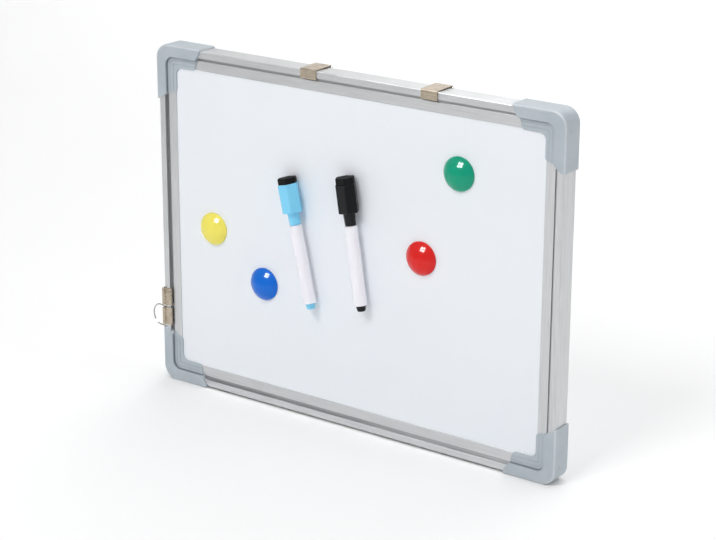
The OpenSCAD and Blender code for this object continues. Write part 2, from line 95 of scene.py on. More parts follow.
def angles(**rows):
    """Angle properties, their defaults in degrees."""
    return properties(FloatProperty, radians, rows, unit="ROTATION", subtype="ANGLE")


def numbers(**rows):
    """Plain number properties."""
    return properties(FloatProperty, float, rows)


def linear(levels):
    """Linear colour from three display levels of 0 to 255."""
    display = np.array(levels) / 255
    curve = ((display + 0.055) / 1.055) ** 2.4
    return tuple(np.where(display <= 0.04045, display / 12.92, curve).tolist())


def colours(**rows):
    """Colour properties, their defaults in display levels."""
    options = {"subtype": "COLOR", "size": 3, "min": 0, "max": 1}
    return properties(FloatVectorProperty, linear, rows, **options)


class FrameSizes(PropertyGroup):
    """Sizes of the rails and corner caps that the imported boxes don't give."""

    __annotations__ = lengths(
        band=("Outer band", 6, "Width of a rail's raised outer band"),
        groove=("Groove", 2.6, "Width of the groove beside the band"),
        groove_depth=("Groove depth", 3.1, "Depth of the groove below the band"),
        inner_drop=("Inner band drop", 2.2, "How much lower the inner band lies"),
        mouth=("Mouth", 6.1, "From the middle of the rail to the panel's channel wall"),
        wall=("Rail wall", 1.2, "Wall of the extrusion"),
        edge=("Rail edge", 1, "Radius of a rail's outer edges"),
        crease=("Rail crease", 0.3, "Radius of a rail's other edges"),
        cap_wall=("Cap wall", 1.6, "How far a cap stands proud of the rails"),
        cap_inner_wall=("Cap inner wall", 1.1, "Wall of a cap over the inner band"),
        cap_lip=("Cap lip", 0.9, "Wall of a cap's inner side"),
        cap_fit=("Cap fit", 0.1, "Clearance between a rail and its cap"),
        cap_corner=("Cap corner", 12.5, "Outer corner radius of a cap"),
        cap_step_corner=("Step corner", 7.5, "Radius of the step line round the corner"),
        cap_fillet=("Cap fillet", 5.5, "Radius at a cap's inner corner"),
        cap_edge=("Cap edge", 2.2, "Rounding of a cap's outer edges"),
        cap_soft=("Cap softness", 0.5, "Rounding of a cap's step and inner edge"),
        cap_foot=("Step foot", 0.4, "Hollow rounding at the foot of a cap's step"),
        cap_ridge=("Cap ridge", 0.22, "Height of the fine steps on a cap's inner band"),
        cap_square=("Leg square end", 1.5, "Square part of a leg's end"),
        cap_slant_at=("Leg slant place", 4.8, "Where a leg's end starts to slant strongly"),
        cap_slant_cut=("Leg slant cut", 1.1, "How much shorter a leg is there"),
        cap_mid_cut=("Leg middle cut", 5.3, "How much shorter a leg is at the step"),
        cap_inner_cut=("Leg inner cut", 7.3, "How much shorter a leg is at its inner edge"),
        cap_tip=("Leg tip", 3.5, "Rounding of a leg's inner tip"),
        cap_bevel=("Leg end rounding", 0.3, "Rounding of a leg's end"),
        tongue=("Tongue", 20, "Length of a cap's tongue inside a rail"),
        tongue_fit=("Tongue fit", 0.2, "Clearance round a tongue"),
        tongue_lead=("Tongue lead", 1, "Chamfer at a tongue's tip"),
        gate=("Gate mark", 1.5, "Radius of the gate mark on a cap's side"),
        gate_depth=("Gate mark depth", 0.3, "Depth of the gate mark"),
    )


class HookSizes(PropertyGroup):
    """Sizes of the hook strips and wire rings."""

    __annotations__ = lengths(
        thick=("Strip", 0.8, "Thickness of the hook strip"),
        gap=("Gap", 0.15, "Clearance between a hook and the rail"),
        reach=("Reach", 7.6, "How far the legs come down the rail's faces"),
        lip=("Lip", 1.25, "How far the lip reaches in from the rail's face"),
        bend=("Bend", 0.4, "Inside radius of the strip's bends"),
        deburr=("Edge rounding", 0.14, "Rounding of the strip's edges"),
        wire=("Wire", 1.2, "Diameter of the ring wire"),
        fit=("Fit", 0.08, "Radial clearance of the wire in its knuckle"),
        ring=("Ring", 13.6, "From the knuckle to the end of a ring"),
        ring_gap=("Ring gap", 0.85, "Gap between a hook's edge and the wire"),
        ring_bend=("Ring bend", 1.2, "Bend radius of the wire at the knuckle"),
    ) | angles(side_swing=("Side ring swing", 8, "How far the side ring leans to the back"))


class LooseSizes(PropertyGroup):
    """Sizes of the magnets and markers."""

    __annotations__ = lengths(
        magnet_rise=("Magnet height", 8.5, "Height of a button magnet"),
        magnet_rim=("Magnet rim", 1.2, "Height of its straight rim"),
        magnet_wall=("Magnet wall", 1.8, "Wall of its dome"),
        magnet_soft=("Magnet softness", 0.35, "Rounding of its rim"),
        disc_fit=("Disc fit", 0.1, "Clearance round the magnet disc"),
        disc_ledge=("Disc ledge", 1.2, "Width of the ledge over the disc"),
        block=("Cap block", 15.5, "Width across the flats of a marker cap"),
        block_rise=("Cap block height", 24, "Height of the cap's block"),
        block_edge=("Cap block edge", 0.8, "Rounding of the block's ends"),
        collar=("Collar", 10.5, "Length of the cap's round collar"),
        collar_top=("Collar top", 5, "Collar radius at the block"),
        collar_end=("Collar end", 4.5, "Collar radius at its open end"),
        socket=("Socket", 3.7, "Radius of the cap's socket"),
        socket_up=("Socket depth", 17, "Depth of the socket above the block's bottom"),
        felt=("Felt", 5, "Thickness of the felt eraser"),
        felt_inset=("Felt inset", 0.6, "How much narrower the felt is, each side"),
        felt_edge=("Felt edge", 0.5, "Rounding of the felt's worn edge"),
        fuzz=("Felt fuzz", 0.05, "How far the felt's fibres stray"),
        seat=("Cap magnet radius", 4, "Radius of the magnet in the cap's flat"),
        seat_deep=("Cap magnet", 2.2, "Thickness of that magnet"),
        seat_up=("Cap magnet place", 12, "Its height above the block's bottom"),
        barrel=("Barrel", 5.3, "Radius of the barrel"),
        barrel_long=("Barrel length", 66, "Length of the barrel below the cap"),
        barrel_wall=("Barrel wall", 1, "Wall of the barrel"),
        shoulder=("Shoulder", 0.3, "Gap between the cap and the barrel"),
        shoulder_edge=("Shoulder edge", 0.5, "Rounding of the barrel's shoulder"),
        neck=("Neck", 8.5, "Length of the barrel's neck"),
        neck_fit=("Neck fit", 0.08, "Radial clearance of the neck in the cap"),
        nib=("Nib", 1.5, "Radius of the nib"),
        nib_out=("Nib length", 10, "Length of the nib beyond the neck"),
        holder=("Nib holder", 0.7, "Wall of the nib holder"),
        flange=("Nib holder flange", 1, "Thickness of the nib holder's flange"),
        plug=("Plug", 5, "Length of the end plug outside the barrel"),
        plug_top=("Plug top", 4.2, "Radius of the plug at the barrel"),
        plug_tip=("Plug tip", 3.5, "Radius of the plug's tip"),
        plug_soft=("Plug rounding", 0.9, "Rounding of the plug's tip"),
        plug_in=("Plug inside", 6, "Length of the plug in the barrel"),
        push_fit=("Push fit", 0.05, "Clearance of what is pushed into the barrel"),
    ) | angles(
        lean_blue=("Blue marker lean", 13, "Lean of the light blue marker's top"),
        lean_black=("Black marker lean", 9, "Lean of the black marker's top"),
    )


class Finishes(PropertyGroup):
    """Colours of the finishes."""

    __annotations__ = colours(
        sheet=("Sheet", (238, 242, 247), "Lacquered writing sheet"),
        sheet_dim=("Sheet haze", (233, 238, 244), "Faint haze on the writing sheet"),
        core=("Core", (188, 152, 104), "Cardboard core"),
        metal=("Rail", (214, 215, 216), "Aluminium of the rails"),
        metal_dark=("Rail lines", (164, 165, 166), "Drawn lines in the aluminium"),
        # Painted shade for the rails' grooves, darker where shade falls in them, rather than oxide.
        grime=("Grime", (58, 58, 60), "Oxide in the grooves of the rails"),
        cap=("Corner cap", (172, 182, 189), "Moulded corner caps"),
        cap_pale=("Corner cap haze", (188, 195, 201), "Paler haze of the corner caps"),
        # Painted highlight along the caps' rounded outer edges, and painted shade in their creases.
        cap_rubbed=("Rubbed edge", (226, 230, 234), "Rubbed edges of the corner caps"),
        cap_crease=("Crease", (88, 97, 106), "Dirt in the creases of the corner caps"),
        hook=("Hook", (196, 184, 166), "Nickel of the hooks"),
        hook_dark=("Hook lines", (140, 126, 108), "Rolled lines in the nickel"),
        wire=("Ring wire", (190, 188, 184), "Polished ring wire"),
        ferrite=("Ferrite", (52, 52, 55), "Magnet discs"),
        yellow=("Yellow magnet", (250, 236, 104), "Yellow plastic"),
        blue=("Blue magnet", (0, 108, 216), "Blue plastic"),
        green=("Green magnet", (0, 160, 124), "Green plastic"),
        red=("Red magnet", (228, 30, 26), "Red plastic"),
        marker_blue=("Light blue marker", (134, 216, 252), "Light blue plastic"),
        marker_black=("Black marker", (15, 17, 19), "Black plastic"),
        barrel=("Barrel", (248, 249, 254), "White barrel plastic"),
        barrel_tint=("Barrel tint", (244, 238, 248), "Warm tint in the barrel plastic"),
        felt=("Felt", (11, 12, 14), "Eraser felt"),
        ink_blue=("Blue ink", (40, 130, 205), "Nib soaked in blue ink"),
        ink_black=("Black ink", (28, 28, 32), "Nib soaked in black ink"),
    )


class StageSettings(PropertyGroup):
    """The camera, floor and light."""

    __annotations__ = {
        "eye": FloatVectorProperty(
            name="Camera place",
            description="Where the camera stands",
            default=(0.959675, -1.297126, 0.672364),
            subtype="TRANSLATION",
            unit="LENGTH",
            size=3,
            precision=5,
        ),
        "turn": FloatVectorProperty(
            name="Camera turn",
            description="The camera's Euler angles",
            default=(radians(71.6167), radians(-0.2016), radians(36.18336)),
            subtype="EULER",
            size=3,
            precision=5,
        ),
        **colours(floor=("Floor", (250, 250, 250), "Pale floor")),
        **numbers(
            lens=("Lens", 105.1264, "Focal length in millimetres for a 36 mm sensor"),
            key=("Key light", 9.6, "Watts of the key light"),
            panes=("Window panes", 13, "Watts of each pane that only gloss shows"),
            top=("Top light", 11, "Watts of the top light"),
            back=("Back light", 40, "Watts of the back light"),
            side=("Side light", 3, "Watts of the side light"),
            sky=("Sky", 0.53, "Strength of the pale surroundings"),
        ),
    }


# ---------------------------------------------------------------- outlines


def stacked(*arrays):
    """Arrays, spread over one another, side by side along a new last axis."""
    return np.stack(np.broadcast_arrays(*arrays), -1)


def unit(vectors):
    """Vectors of length 1."""
    return vectors / np.maximum(np.linalg.norm(vectors, axis=-1, keepdims=True), 1e-12)


def rounded_outline(corners, radii, steps):
    """Closed outline whose corners are replaced by arcs.

    At a corner with half angle h the arc's tangent points lie radius / tan(h) along both edges and
    its centre radius / sin(h) along the bisector; its points turn evenly between the two normals.
    """
    p = np.asarray(corners, float)
    r = np.broadcast_to(np.asarray(radii, float), len(p))[:, None]
    back, ahead = unit(np.roll(p, 1, 0) - p), unit(np.roll(p, -1, 0) - p)
    half = np.arccos(np.clip((back * ahead).sum(1, keepdims=True), -1, 1)) / 2
    centre = p + unit(back + ahead) * r / np.sin(half)
    first = p + back * r / np.tan(half) - centre
    last = p + ahead * r / np.tan(half) - centre
    start = np.arctan2(first[:, 1:], first[:, :1])
    swing = (np.arctan2(last[:, 1:], last[:, :1]) - start + pi) % (2 * pi) - pi
    turn = start + swing * np.linspace(0, 1, steps)
    arcs = centre[:, None] + r[:, None] * stacked(np.cos(turn), np.sin(turn))
    return arcs.reshape(-1, 2)


def arc(centre, radius, start, end, steps):
    """Points on a circle's arc, the angles in degrees."""
    a = np.radians(np.linspace(start, end, steps))
    return stacked(centre[0] + radius * np.cos(a), centre[1] + radius * np.sin(a))


def both_halves(points):
    """An outline's upper half followed by its mirror image in the first axis."""
    points = np.asarray(points, float)
    return np.vstack([points, points[::-1] * (1, -1)])


def inset(outline, distance):
    """Closed outline moved inwards, each point along the normal of its neighbours' chord."""
    ahead = np.roll(outline, -1, 0)
    chord = ahead - np.roll(outline, 1, 0)
    area = (outline[:, 0] * ahead[:, 1] - outline[:, 1] * ahead[:, 0]).sum()
    return outline + unit(stacked(-chord[:, 1], chord[:, 0])) * distance * np.sign(area)


# ---------------------------------------------------------------- surfaces


def grid_faces(rows, columns, ring=False):
    """Quads between neighbouring rows of a numbered grid whose rows are closed loops."""
    index = np.arange(rows * columns).reshape(rows, columns)
    here, ahead = (index, np.roll(index, -1, 0)) if ring else (index[:-1], index[1:])
    return stacked(here, np.roll(here, -1, 1), np.roll(ahead, -1, 1), ahead).reshape(-1, 4)


def outwards(points, faces):
    """The same closed surface with its faces turned outwards, judged by its signed volume."""
    middle = points.mean(0)
    total = 0.0
    for group in faces:
        fan = points[group] - middle
        for k in range(1, group.shape[1] - 1):
            total += np.einsum("ij,ij->", fan[:, 0], np.cross(fan[:, k], fan[:, k + 1]))
    return points, [group[:, ::-1] for group in faces] if total < 0 else faces


def moved(shell, axes, signs=(1, 1, 1), shift=(0, 0, 0)):
    """A surface with its axes in another order, mirrored where a sign is -1, and then shifted."""
    return outwards(shell[0][:, axes] * signs + shift, shell[1])


def tube(grid, ring=False, poles=None):
    """Closed surface whose rows are closed loops.

    With ring the last row joins the first. Otherwise the ends are fans about two poles where these
    are given, and single faces where not.
    """
    rows, columns = grid.shape[:2]
    points = grid.reshape(-1, 3)
    faces = [grid_faces(rows, columns, ring)]
    first, hub = np.arange(columns), rows * columns
    last = first + hub - columns
    if poles:
        points = np.vstack([points, poles])
        faces.append(stacked(np.roll(first, -1), first, hub))
        faces.append(stacked(last, np.roll(last, -1), hub + 1))
    elif not ring:
        faces += [first[None, ::-1], last[None]]
    return outwards(points, faces)


def prism(outline, start, end, first_axis, second_axis):
    """An outline carried straight from one point to another; the axes carry its coordinates."""
    section = outline[:, :1] * first_axis + outline[:, 1:] * second_axis
    return tube(np.stack([section + start, section + end]))


def circle(segments):
    """Angles evenly round a circle."""
    return np.linspace(0, 2 * pi, segments, endpoint=False)


def turned(radii, heights, around):
    """Surface round Z from the radii and heights of its rows, the first and last of them poles.

    A row's radius is one number for a circle, or one per angle for another form.
    """
    radii = radii[1:-1]
    grid = stacked(radii * np.cos(around), radii * np.sin(around), heights[1:-1, None])
    return tube(grid, poles=[(0, 0, heights[0]), (0, 0, heights[-1])])


def turned_profile(profile, segments=96):
    """Surface of revolution from a profile of (radius, height) that starts and ends on the axis."""
    profile = np.asarray(profile, float)
    return turned(profile[:, :1], profile[:, 1], circle(segments))


def turned_ring(profile, segments=96):
    """Closed ring of revolution about Z, from a closed profile of (radius, height)."""
    around = circle(segments)[:, None]
    radii, heights = profile.T
    return tube(stacked(radii * np.cos(around), radii * np.sin(around), heights), ring=True)


# ---------------------------------------------------------------- meshes and pieces


def add_object(name, data):
    """New object in the scene."""
    item = bpy.data.objects.new(name, data)
    bpy.context.scene.collection.objects.link(item)
    return item


def new_mesh(name, *shells):
    """One mesh of one or more closed surfaces."""
    points, faces, count = [], [], 0
    for shell_points, shell_faces in shells:
        points += shell_points.tolist()
        faces += [face for group in shell_faces for face in (group + count).tolist()]
        count += len(shell_points)
    mesh = bpy.data.meshes.new(name)
    mesh.from_pydata(points, [], faces)
    mesh.update()
    return mesh


def cut(mesh, *tools):
    """Takes closed surfaces away from a mesh, which is used up."""
    body = add_object("body", mesh)
    helpers = [add_object("tool", new_mesh("tool", tool)) for tool in tools]
    for helper in helpers:
        step = body.modifiers.new("Cut", "BOOLEAN")
        step.operation = "DIFFERENCE"
        step.solver = "EXACT"
        step.object = helper
    graph = bpy.context.evaluated_depsgraph_get()
    result = bpy.data.meshes.new_from_object(body.evaluated_get(graph))
    for item in (body, *helpers):
        spent = item.data
        bpy.data.objects.remove(item)
        bpy.data.meshes.remove(spent)
    if not result.polygons:
        raise RuntimeError("A cut left nothing of its mesh")
    return result


def make_piece(node, ending, form, material, body, sharp=32):
    """Shows a surface or mesh as a piece that rides on a body, in the place of a CAD node.
    """
    name = f"{node}_{ending}"
    mesh = form if isinstance(form, bpy.types.Mesh) else new_mesh(name, form)
    mesh.name = name
    mesh.materials.clear()
    mesh.materials.append(material)
    mesh.polygons.foreach_set("use_smooth", np.ones(len(mesh.polygons), bool))
    mesh.set_sharp_from_angle(angle=radians(sharp))
    piece = add_object(name, mesh)
    piece.modifiers.new("Even shading", "WEIGHTED_NORMAL").keep_sharp = True
    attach(piece, body)
    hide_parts(node)


def mark(mesh, name, values):
    """Keeps one value per vertex, for the material to read."""
    mesh.attributes.new(name, "FLOAT", "POINT").data.foreach_set("value", values)


def places(mesh):
    """A mesh's vertices as an array."""
    points = np.empty(len(mesh.vertices) * 3)
    mesh.vertices.foreach_get("co", points)
    return points.reshape(-1, 3)


def node_box(node):
    """Lowest and highest corner of a CAD node, as arrays."""
    return tuple(np.array(corner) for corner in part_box(node))


def node_size(node):
    """Width, depth and height of a CAD node."""
    low, high = node_box(node)
    return high - low


def over_node(shell, node):
    """A surface moved so that the middle of its box is that of a CAD node's."""
    points, (low, high) = shell[0], node_box(node)
    return points + (low + high) / 2 - (points.min(0) + points.max(0)) / 2, shell[1]


# ---------------------------------------------------------------- shader nodes
# A value is a socket, and knows its tree, so a new node goes into the tree of what feeds it.


def give(socket, value):
    """Sets a socket, or links a value to it."""
    if isinstance(value, NodeSocket):
        socket.id_data.links.new(value, socket)
    else:
        socket.default_value = value


def add_node(tree, kind, inputs=(), **settings):
    """Adds a shader node, sets its properties, and gives its inputs in order or by name."""
    node = tree.nodes.new("ShaderNode" + kind)
    for key, value in settings.items():
        setattr(node, key, value)
    for key, value in inputs.items() if isinstance(inputs, dict) else enumerate(inputs):
        give(node.inputs[key], value)
    return node


def noise(vector, scale, detail=2.0, rough=0.5):
    """Value of a noise texture, from 0 to 1."""
    inputs = {"Vector": vector, "Scale": scale, "Detail": detail, "Roughness": rough}
    return add_node(vector.id_data, "TexNoise", inputs).outputs[0]


def cells(vector, scale, randomness=1.0, feature="F1"):
    """Distance in a pattern of cells."""
    inputs = {"Vector": vector, "Scale": scale, "Randomness": randomness}
    return add_node(vector.id_data, "TexVoronoi", inputs, feature=feature).outputs[0]


def remap(value, low, high, to_low=0.0, to_high=1.0):
    """Value mapped from one range onto another, held at its ends."""
    inputs = (value, low, high, to_low, to_high)
    return add_node(value.id_data, "MapRange", inputs).outputs[0]


def calc(operation, first, second):
    """Math node's result for two values, one of which may be a number."""
    tree = (first if isinstance(first, NodeSocket) else second).id_data
    return add_node(tree, "Math", (first, second), operation=operation).outputs[0]


def weigh(*shares):
    """Sum of values, each times its weight."""
    parts = [calc("MULTIPLY", value, weight) for value, weight in shares]
    total = parts[0]
    for part in parts[1:]:
        total = calc("ADD", total, part)
    return total


def mix(share, first, second):
    """Colour between two colours."""
    ends = [end if isinstance(end, NodeSocket) else (*end, 1) for end in (first, second)]
    inputs = {0: share, 6: ends[0], 7: ends[1]}
    return add_node(share.id_data, "Mix", inputs, data_type="RGBA").outputs[2]


def bump(height, distance, strength):
    """Normal of a surface raised by a height."""
    inputs = {"Height": height, "Distance": distance, "Strength": strength}
    return add_node(height.id_data, "Bump", inputs).outputs[0]


def stretched(vector, scale):
    """Coordinates scaled unevenly, which draws a pattern out along its smallest scale."""
    return add_node(vector.id_data, "Mapping", {"Vector": vector, "Scale": scale}).outputs[0]


def attribute(beside, name):
    """A value that a mesh keeps per vertex."""
    return add_node(beside.id_data, "Attribute", attribute_name=name).outputs["Fac"]


def drawn_lines(vector, fineness):
    """Fine lines left by a die or a roll, and the broader bands between them.

    The vector comes in already drawn out along the lines' direction.
    """
    fine = noise(vector, fineness, 3.0, 0.62)
    broad = noise(vector, calc("MULTIPLY", fineness, 0.16))
    return {"Lines": remap(fine, 0.28, 0.72), "Bands": remap(broad, 0.34, 0.66)}


def moulded_skin(vector, grain_size):
    """Fine spark-eroded grain of a moulding, and a slow mottle of its colour."""
    pitch = calc("DIVIDE", 1.0, grain_size)
    mottle = noise(vector, calc("MULTIPLY", pitch, 0.03), 3.0)
    return {"Grain": noise(vector, pitch, 2.5, 0.6), "Mottle": remap(mottle, 0.3, 0.7)}


def handling_marks(vector, smudge_size):
    """Marks of use: soft smudges from hands, and thin upright scuffs."""
    pitch = calc("DIVIDE", 1.0, smudge_size)
    soft = noise(vector, pitch, 4.0, 0.55)
    streak = noise(stretched(vector, (9.0, 9.0, 0.9)), pitch, 5.0, 0.7)
    return {"Smudges": remap(soft, 0.42, 0.72), "Scuffs": remap(streak, 0.62, 0.74)}


EFFECTS = {
    drawn_lines: ("Drawn lines", "Fineness", 900.0),
    moulded_skin: ("Moulded skin", "Grain size", 0.0004),
    handling_marks: ("Handling marks", "Smudge size", 0.03),
}


def effect(build, vector, measure):
    """Values of a shared effect; its node group is built the first time.

    The measure is what the effect's second input is called: a fineness or a size in metres.
    """
    name, label, default = EFFECTS[build]
    group = bpy.data.node_groups.get(name)
    if group is None:
        group = bpy.data.node_groups.new(name, "ShaderNodeTree")
        group.interface.new_socket("Vector", in_out="INPUT", socket_type="NodeSocketVector")
        given = group.interface.new_socket(label, in_out="INPUT", socket_type="NodeSocketFloat")
        given.default_value = default
        start = group.nodes.new("NodeGroupInput").outputs
        values = build(start["Vector"], start[label])
        for key in values:
            group.interface.new_socket(key, in_out="OUTPUT", socket_type="NodeSocketFloat")
        end = group.nodes.new("NodeGroupOutput").inputs
        for key, value in values.items():
            give(end[key], value)
    return add_node(vector.id_data, "Group", (vector, measure), node_tree=group).outputs


# ---------------------------------------------------------------- materials


def finish(name):
    """A material made before."""
    return bpy.data.materials[name + FINISH]


def new_material(name):
    """New material, and its object coordinates."""
    material = bpy.data.materials.new(name + FINISH)
    material.use_nodes = True
    return material, add_node(material.node_tree, "TexCoord").outputs["Object"]


def feed(material, **inputs):
    """Gives values and numbers to a material's shader; returns the material."""
    shader = material.node_tree.nodes["Principled BSDF"]
    for key, value in inputs.items():
        give(shader.inputs[key.replace("_", " ")], value)
    return material


def shade(colour, factor, lift=0.0):
    """A colour made darker or paler."""
    return tuple(min(1.0, factor * c + lift) for c in colour)


def sheet_lacquer(look):
    """White lacquered steel: a hard gloss coat with faint haze where it is wiped."""
    material, place = new_material("sheet_lacquer")
    marks = effect(handling_marks, place, 0.09)
    skin = effect(moulded_skin, place, 0.0016)
    haze = weigh((marks["Smudges"], 0.45), (marks["Scuffs"], 0.18))
    return feed(
        material,
        Base_Color=mix(haze, look.sheet, look.sheet_dim),
        Roughness=remap(marks["Smudges"], 0.0, 1.0, 0.3, 0.4),
        Normal=bump(skin["Grain"], 0.00001, 0.5),
        Coat_Weight=0.35,
        Coat_Roughness=0.12,
        Specular_IOR_Level=0.45,
    )


def core_board(look):
    """Kraft cardboard honeycomb: the edges of its cells and the fibres of the paper."""
    material, place = new_material("core_board")
    edge = remap(cells(place, 90.0, 0.25, "DISTANCE_TO_EDGE"), 0.02, 0.08, 1.0, 0.0)
    fibre = noise(place, 2600.0, 4.0, 0.7)
    dark = weigh((edge, 0.6), (fibre, 0.4))
    return feed(
        material,
        Base_Color=mix(dark, look.core, shade(look.core, 0.62)),
        Roughness=remap(fibre, 0.2, 0.8, 0.75, 0.95),
        Normal=bump(fibre, 0.0001, 0.4),
        Specular_IOR_Level=0.2,
    )


def rail_aluminium(look, name, along):
    """Drawn aluminium under a thin clear coat: fine lines along the rail, faint smudges, and
    painted shade in the grooves.
    """
    material, place = new_material(name)
    scale = [0.012 if axis == along else 1.0 for axis in "XYZ"]
    lines = effect(drawn_lines, stretched(place, scale), 2600)
    smudges = effect(handling_marks, place, 0.025)["Smudges"]
    tone = weigh((lines["Lines"], 0.5), (lines["Bands"], 0.05))
    clean = mix(tone, look.metal, look.metal_dark)
    satin = remap(lines["Bands"], 0.0, 1.0, 0.3, 0.38)
    return feed(
        material,
        # Painted shade: the marked groove vertices are mixed towards the dark grime colour.
        Base_Color=mix(calc("MULTIPLY", attribute(place, "grime"), 0.45), clean, look.grime),
        Roughness=calc("ADD", satin, calc("MULTIPLY", smudges, 0.08)),
        Normal=bump(lines["Lines"], 0.00003, 0.22),
        Metallic=1.0,
        Coat_Weight=0.12,
        Coat_Roughness=0.3,
    )


def corner_plastic(look):
    """Satin moulded plastic: fine eroded grain, pale scuffs, a painted highlight on the outer edges
    and painted shade in the creases.
    """
    material, place = new_material("corner_plastic")
    skin = effect(moulded_skin, place, 0.00045)
    marks = effect(handling_marks, place, 0.018)
    # Painted highlight on the outer edges and painted shade in the creases, read from the marks.
    rubbed = calc("MULTIPLY", attribute(place, "rubbed"), 0.45)
    crease = calc("MULTIPLY", attribute(place, "crease"), 0.85)
    body = mix(weigh((skin["Mottle"], 0.55), (marks["Scuffs"], 0.35)), look.cap, look.cap_pale)
    return feed(
        material,
        Base_Color=mix(crease, mix(rubbed, body, look.cap_rubbed), look.cap_crease),
        Roughness=remap(marks["Smudges"], 0.0, 1.0, 0.42, 0.54),
        Normal=bump(skin["Grain"], 0.00006, 0.3),
        Specular_IOR_Level=0.42,
    )


def hook_nickel(look):
    """Nickel-plated spring strip: rolled lines across it, slightly warm, with dull patches."""
    material, place = new_material("hook_nickel")
    lines = effect(drawn_lines, stretched(place, (0.05, 1.0, 1.0)), 3200)
    smudges = effect(handling_marks, place, 0.006)["Smudges"]
    return feed(
        material,
        Base_Color=mix(weigh((lines["Lines"], 0.4), (smudges, 0.35)), look.hook, look.hook_dark),
        Roughness=remap(lines["Bands"], 0.0, 1.0, 0.24, 0.38),
        Normal=bump(lines["Lines"], 0.00002, 0.3),
        Metallic=1.0,
    )


def ring_wire(look):
    """Bright drawn wire with hairline marks and slightly dull patches."""
    material, place = new_material("ring_wire")
    hair = noise(place, 5200.0, 3.0, 0.65)
    dull = remap(noise(place, 500.0), 0.45, 0.75, 0.0, 0.7)
    return feed(
        material,
        Base_Color=mix(dull, look.wire, shade(look.wire, 0.6)),
        Roughness=remap(hair, 0.3, 0.7, 0.16, 0.3),
        Normal=bump(hair, 0.00001, 0.3),
        Metallic=1.0,
    )


def gloss_plastic(name, base, coat=0.5):
    """Glossy coloured moulding: slow mottle, fine waviness under the gloss, and faint scuffs."""
    material, place = new_material(name)
    skin = effect(moulded_skin, place, 0.0007)
    marks = effect(handling_marks, place, 0.011)
    tone = weigh((skin["Mottle"], 0.3), (marks["Scuffs"], 0.25))
    return feed(
        material,
        Base_Color=mix(tone, base, shade(base, 0.8)),
        Roughness=remap(marks["Smudges"], 0.0, 1.0, 0.2, 0.3),
        Normal=bump(skin["Grain"], 0.00002, 0.25),
        Coat_Weight=coat,
        Coat_Roughness=0.04,
        Specular_IOR_Level=0.08,
    )


def barrel_plastic(look):
    """White barrel plastic: faint lengthwise lines and a warm tint under a gloss."""
    material, place = new_material("barrel_plastic")
    lines = effect(drawn_lines, stretched(place, (1.0, 1.0, 0.03)), 1500)
    skin = effect(moulded_skin, place, 0.0006)
    tone = weigh((lines["Bands"], 0.5), (skin["Mottle"], 0.25))
    return feed(
        material,
        Base_Color=mix(tone, look.barrel, look.barrel_tint),
        Roughness=remap(lines["Lines"], 0.0, 1.0, 0.2, 0.28),
        Normal=bump(skin["Grain"], 0.00002, 0.25),
        Coat_Weight=0.4,
        Coat_Roughness=0.08,
    )


def pressed_fibre(name, base):
    """Felt or a fibre nib: matted fibres, dusty on the worn side."""
    material, place = new_material(name)
    mat = noise(place, 3800.0, 6.0, 0.75)
    clump = noise(place, 900.0, 3.0, 0.6)
    dust = calc("ADD", remap(mat, 0.45, 0.75, 0.0, 0.5), remap(clump, 0.5, 0.8, 0.0, 0.4))
    return feed(
        material,
        Base_Color=mix(dust, base, shade(base, 2.3, 0.004)),
        Roughness=remap(clump, 0.2, 0.8, 0.85, 1.0),
        Normal=bump(mat, 0.0003, 0.7),
        Specular_IOR_Level=0.1,
        Sheen_Weight=0.08,
        Sheen_Roughness=0.6,
    )


def ferrite(look):
    """Pressed ferrite: dull grey black with pale grains and chipped dots."""
    material, place = new_material("ferrite")
    grain = noise(place, 4200.0, 4.0, 0.7)
    chip = remap(cells(place, 700.0), 0.05, 0.2, 1.0, 0.0)
    pale = remap(grain, 0.5, 0.8, 0.0, 0.8)
    return feed(
        material,
        Base_Color=mix(pale, look.ferrite, shade(look.ferrite, 2.0)),
        Roughness=remap(grain, 0.3, 0.7, 0.5, 0.7),
        Normal=bump(calc("SUBTRACT", grain, chip), 0.0001, 0.4),
        Specular_IOR_Level=0.35,
    )


def floor_paper(stage):
    """Pale matt floor with a very faint paper mottle."""
    material, place = new_material("floor_paper")
    mottle = mix(noise(place, 6.0, 3.0), stage.floor, shade(stage.floor, 0.98))
    return feed(material, Base_Color=mottle, Roughness=0.9, Specular_IOR_Level=0.1)


def dress_nodes(material, *nodes):
    """Gives CAD nodes a material."""
    for node in nodes:
        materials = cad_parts[node].data.materials
        materials.clear()
        materials.append(material)


# ---------------------------------------------------------------- panel and rails


class WHITEBOARD_OT_panel(Operator):
    """Dress the two steel sheets and the core between them"""

    bl_idname = "whiteboard.panel"
    bl_label = "Panel"

    def execute(self, context):
        look = context.scene.whiteboard_finishes
        dress_nodes(sheet_lacquer(look), "front_sheet", "back_sheet")
        dress_nodes(core_board(look), "core_panel")
        return {"FINISHED"}


def rail_outline(sizes, depth, width):
    """Section of a rail as (inwards, depth) points: raised band, groove and thin inner band."""
    outer = depth / 2
    floor, inner = outer - sizes.groove_depth, outer - sizes.inner_drop
    groove_end = sizes.band + sizes.groove
    crease, small = sizes.crease, sizes.crease / 2
    rows = [
        (groove_end + sizes.wall, sizes.mouth, small),
        (width, sizes.mouth, small),
        (width, inner, crease),
        (groove_end, inner, crease),
        (groove_end, floor, small),
        (sizes.band, floor, small),
        (sizes.band, outer, crease),
        (0, outer, sizes.edge),
    ]
    radii = [row[2] for row in rows]
    return rounded_outline(both_halves([row[:2] for row in rows]), radii + radii[::-1], 6)


def chamber_outline(sizes, depth):
    """Section of a rail's hollow chamber, which takes the caps' tongues."""
    outer = depth / 2 - sizes.wall
    floor = outer - sizes.groove_depth
    near = sizes.band - sizes.wall
    half = [(sizes.band + sizes.groove, floor), (near, floor), (near, outer), (sizes.wall, outer)]
    return rounded_outline(both_halves(half), 0.2 * MM, 3)


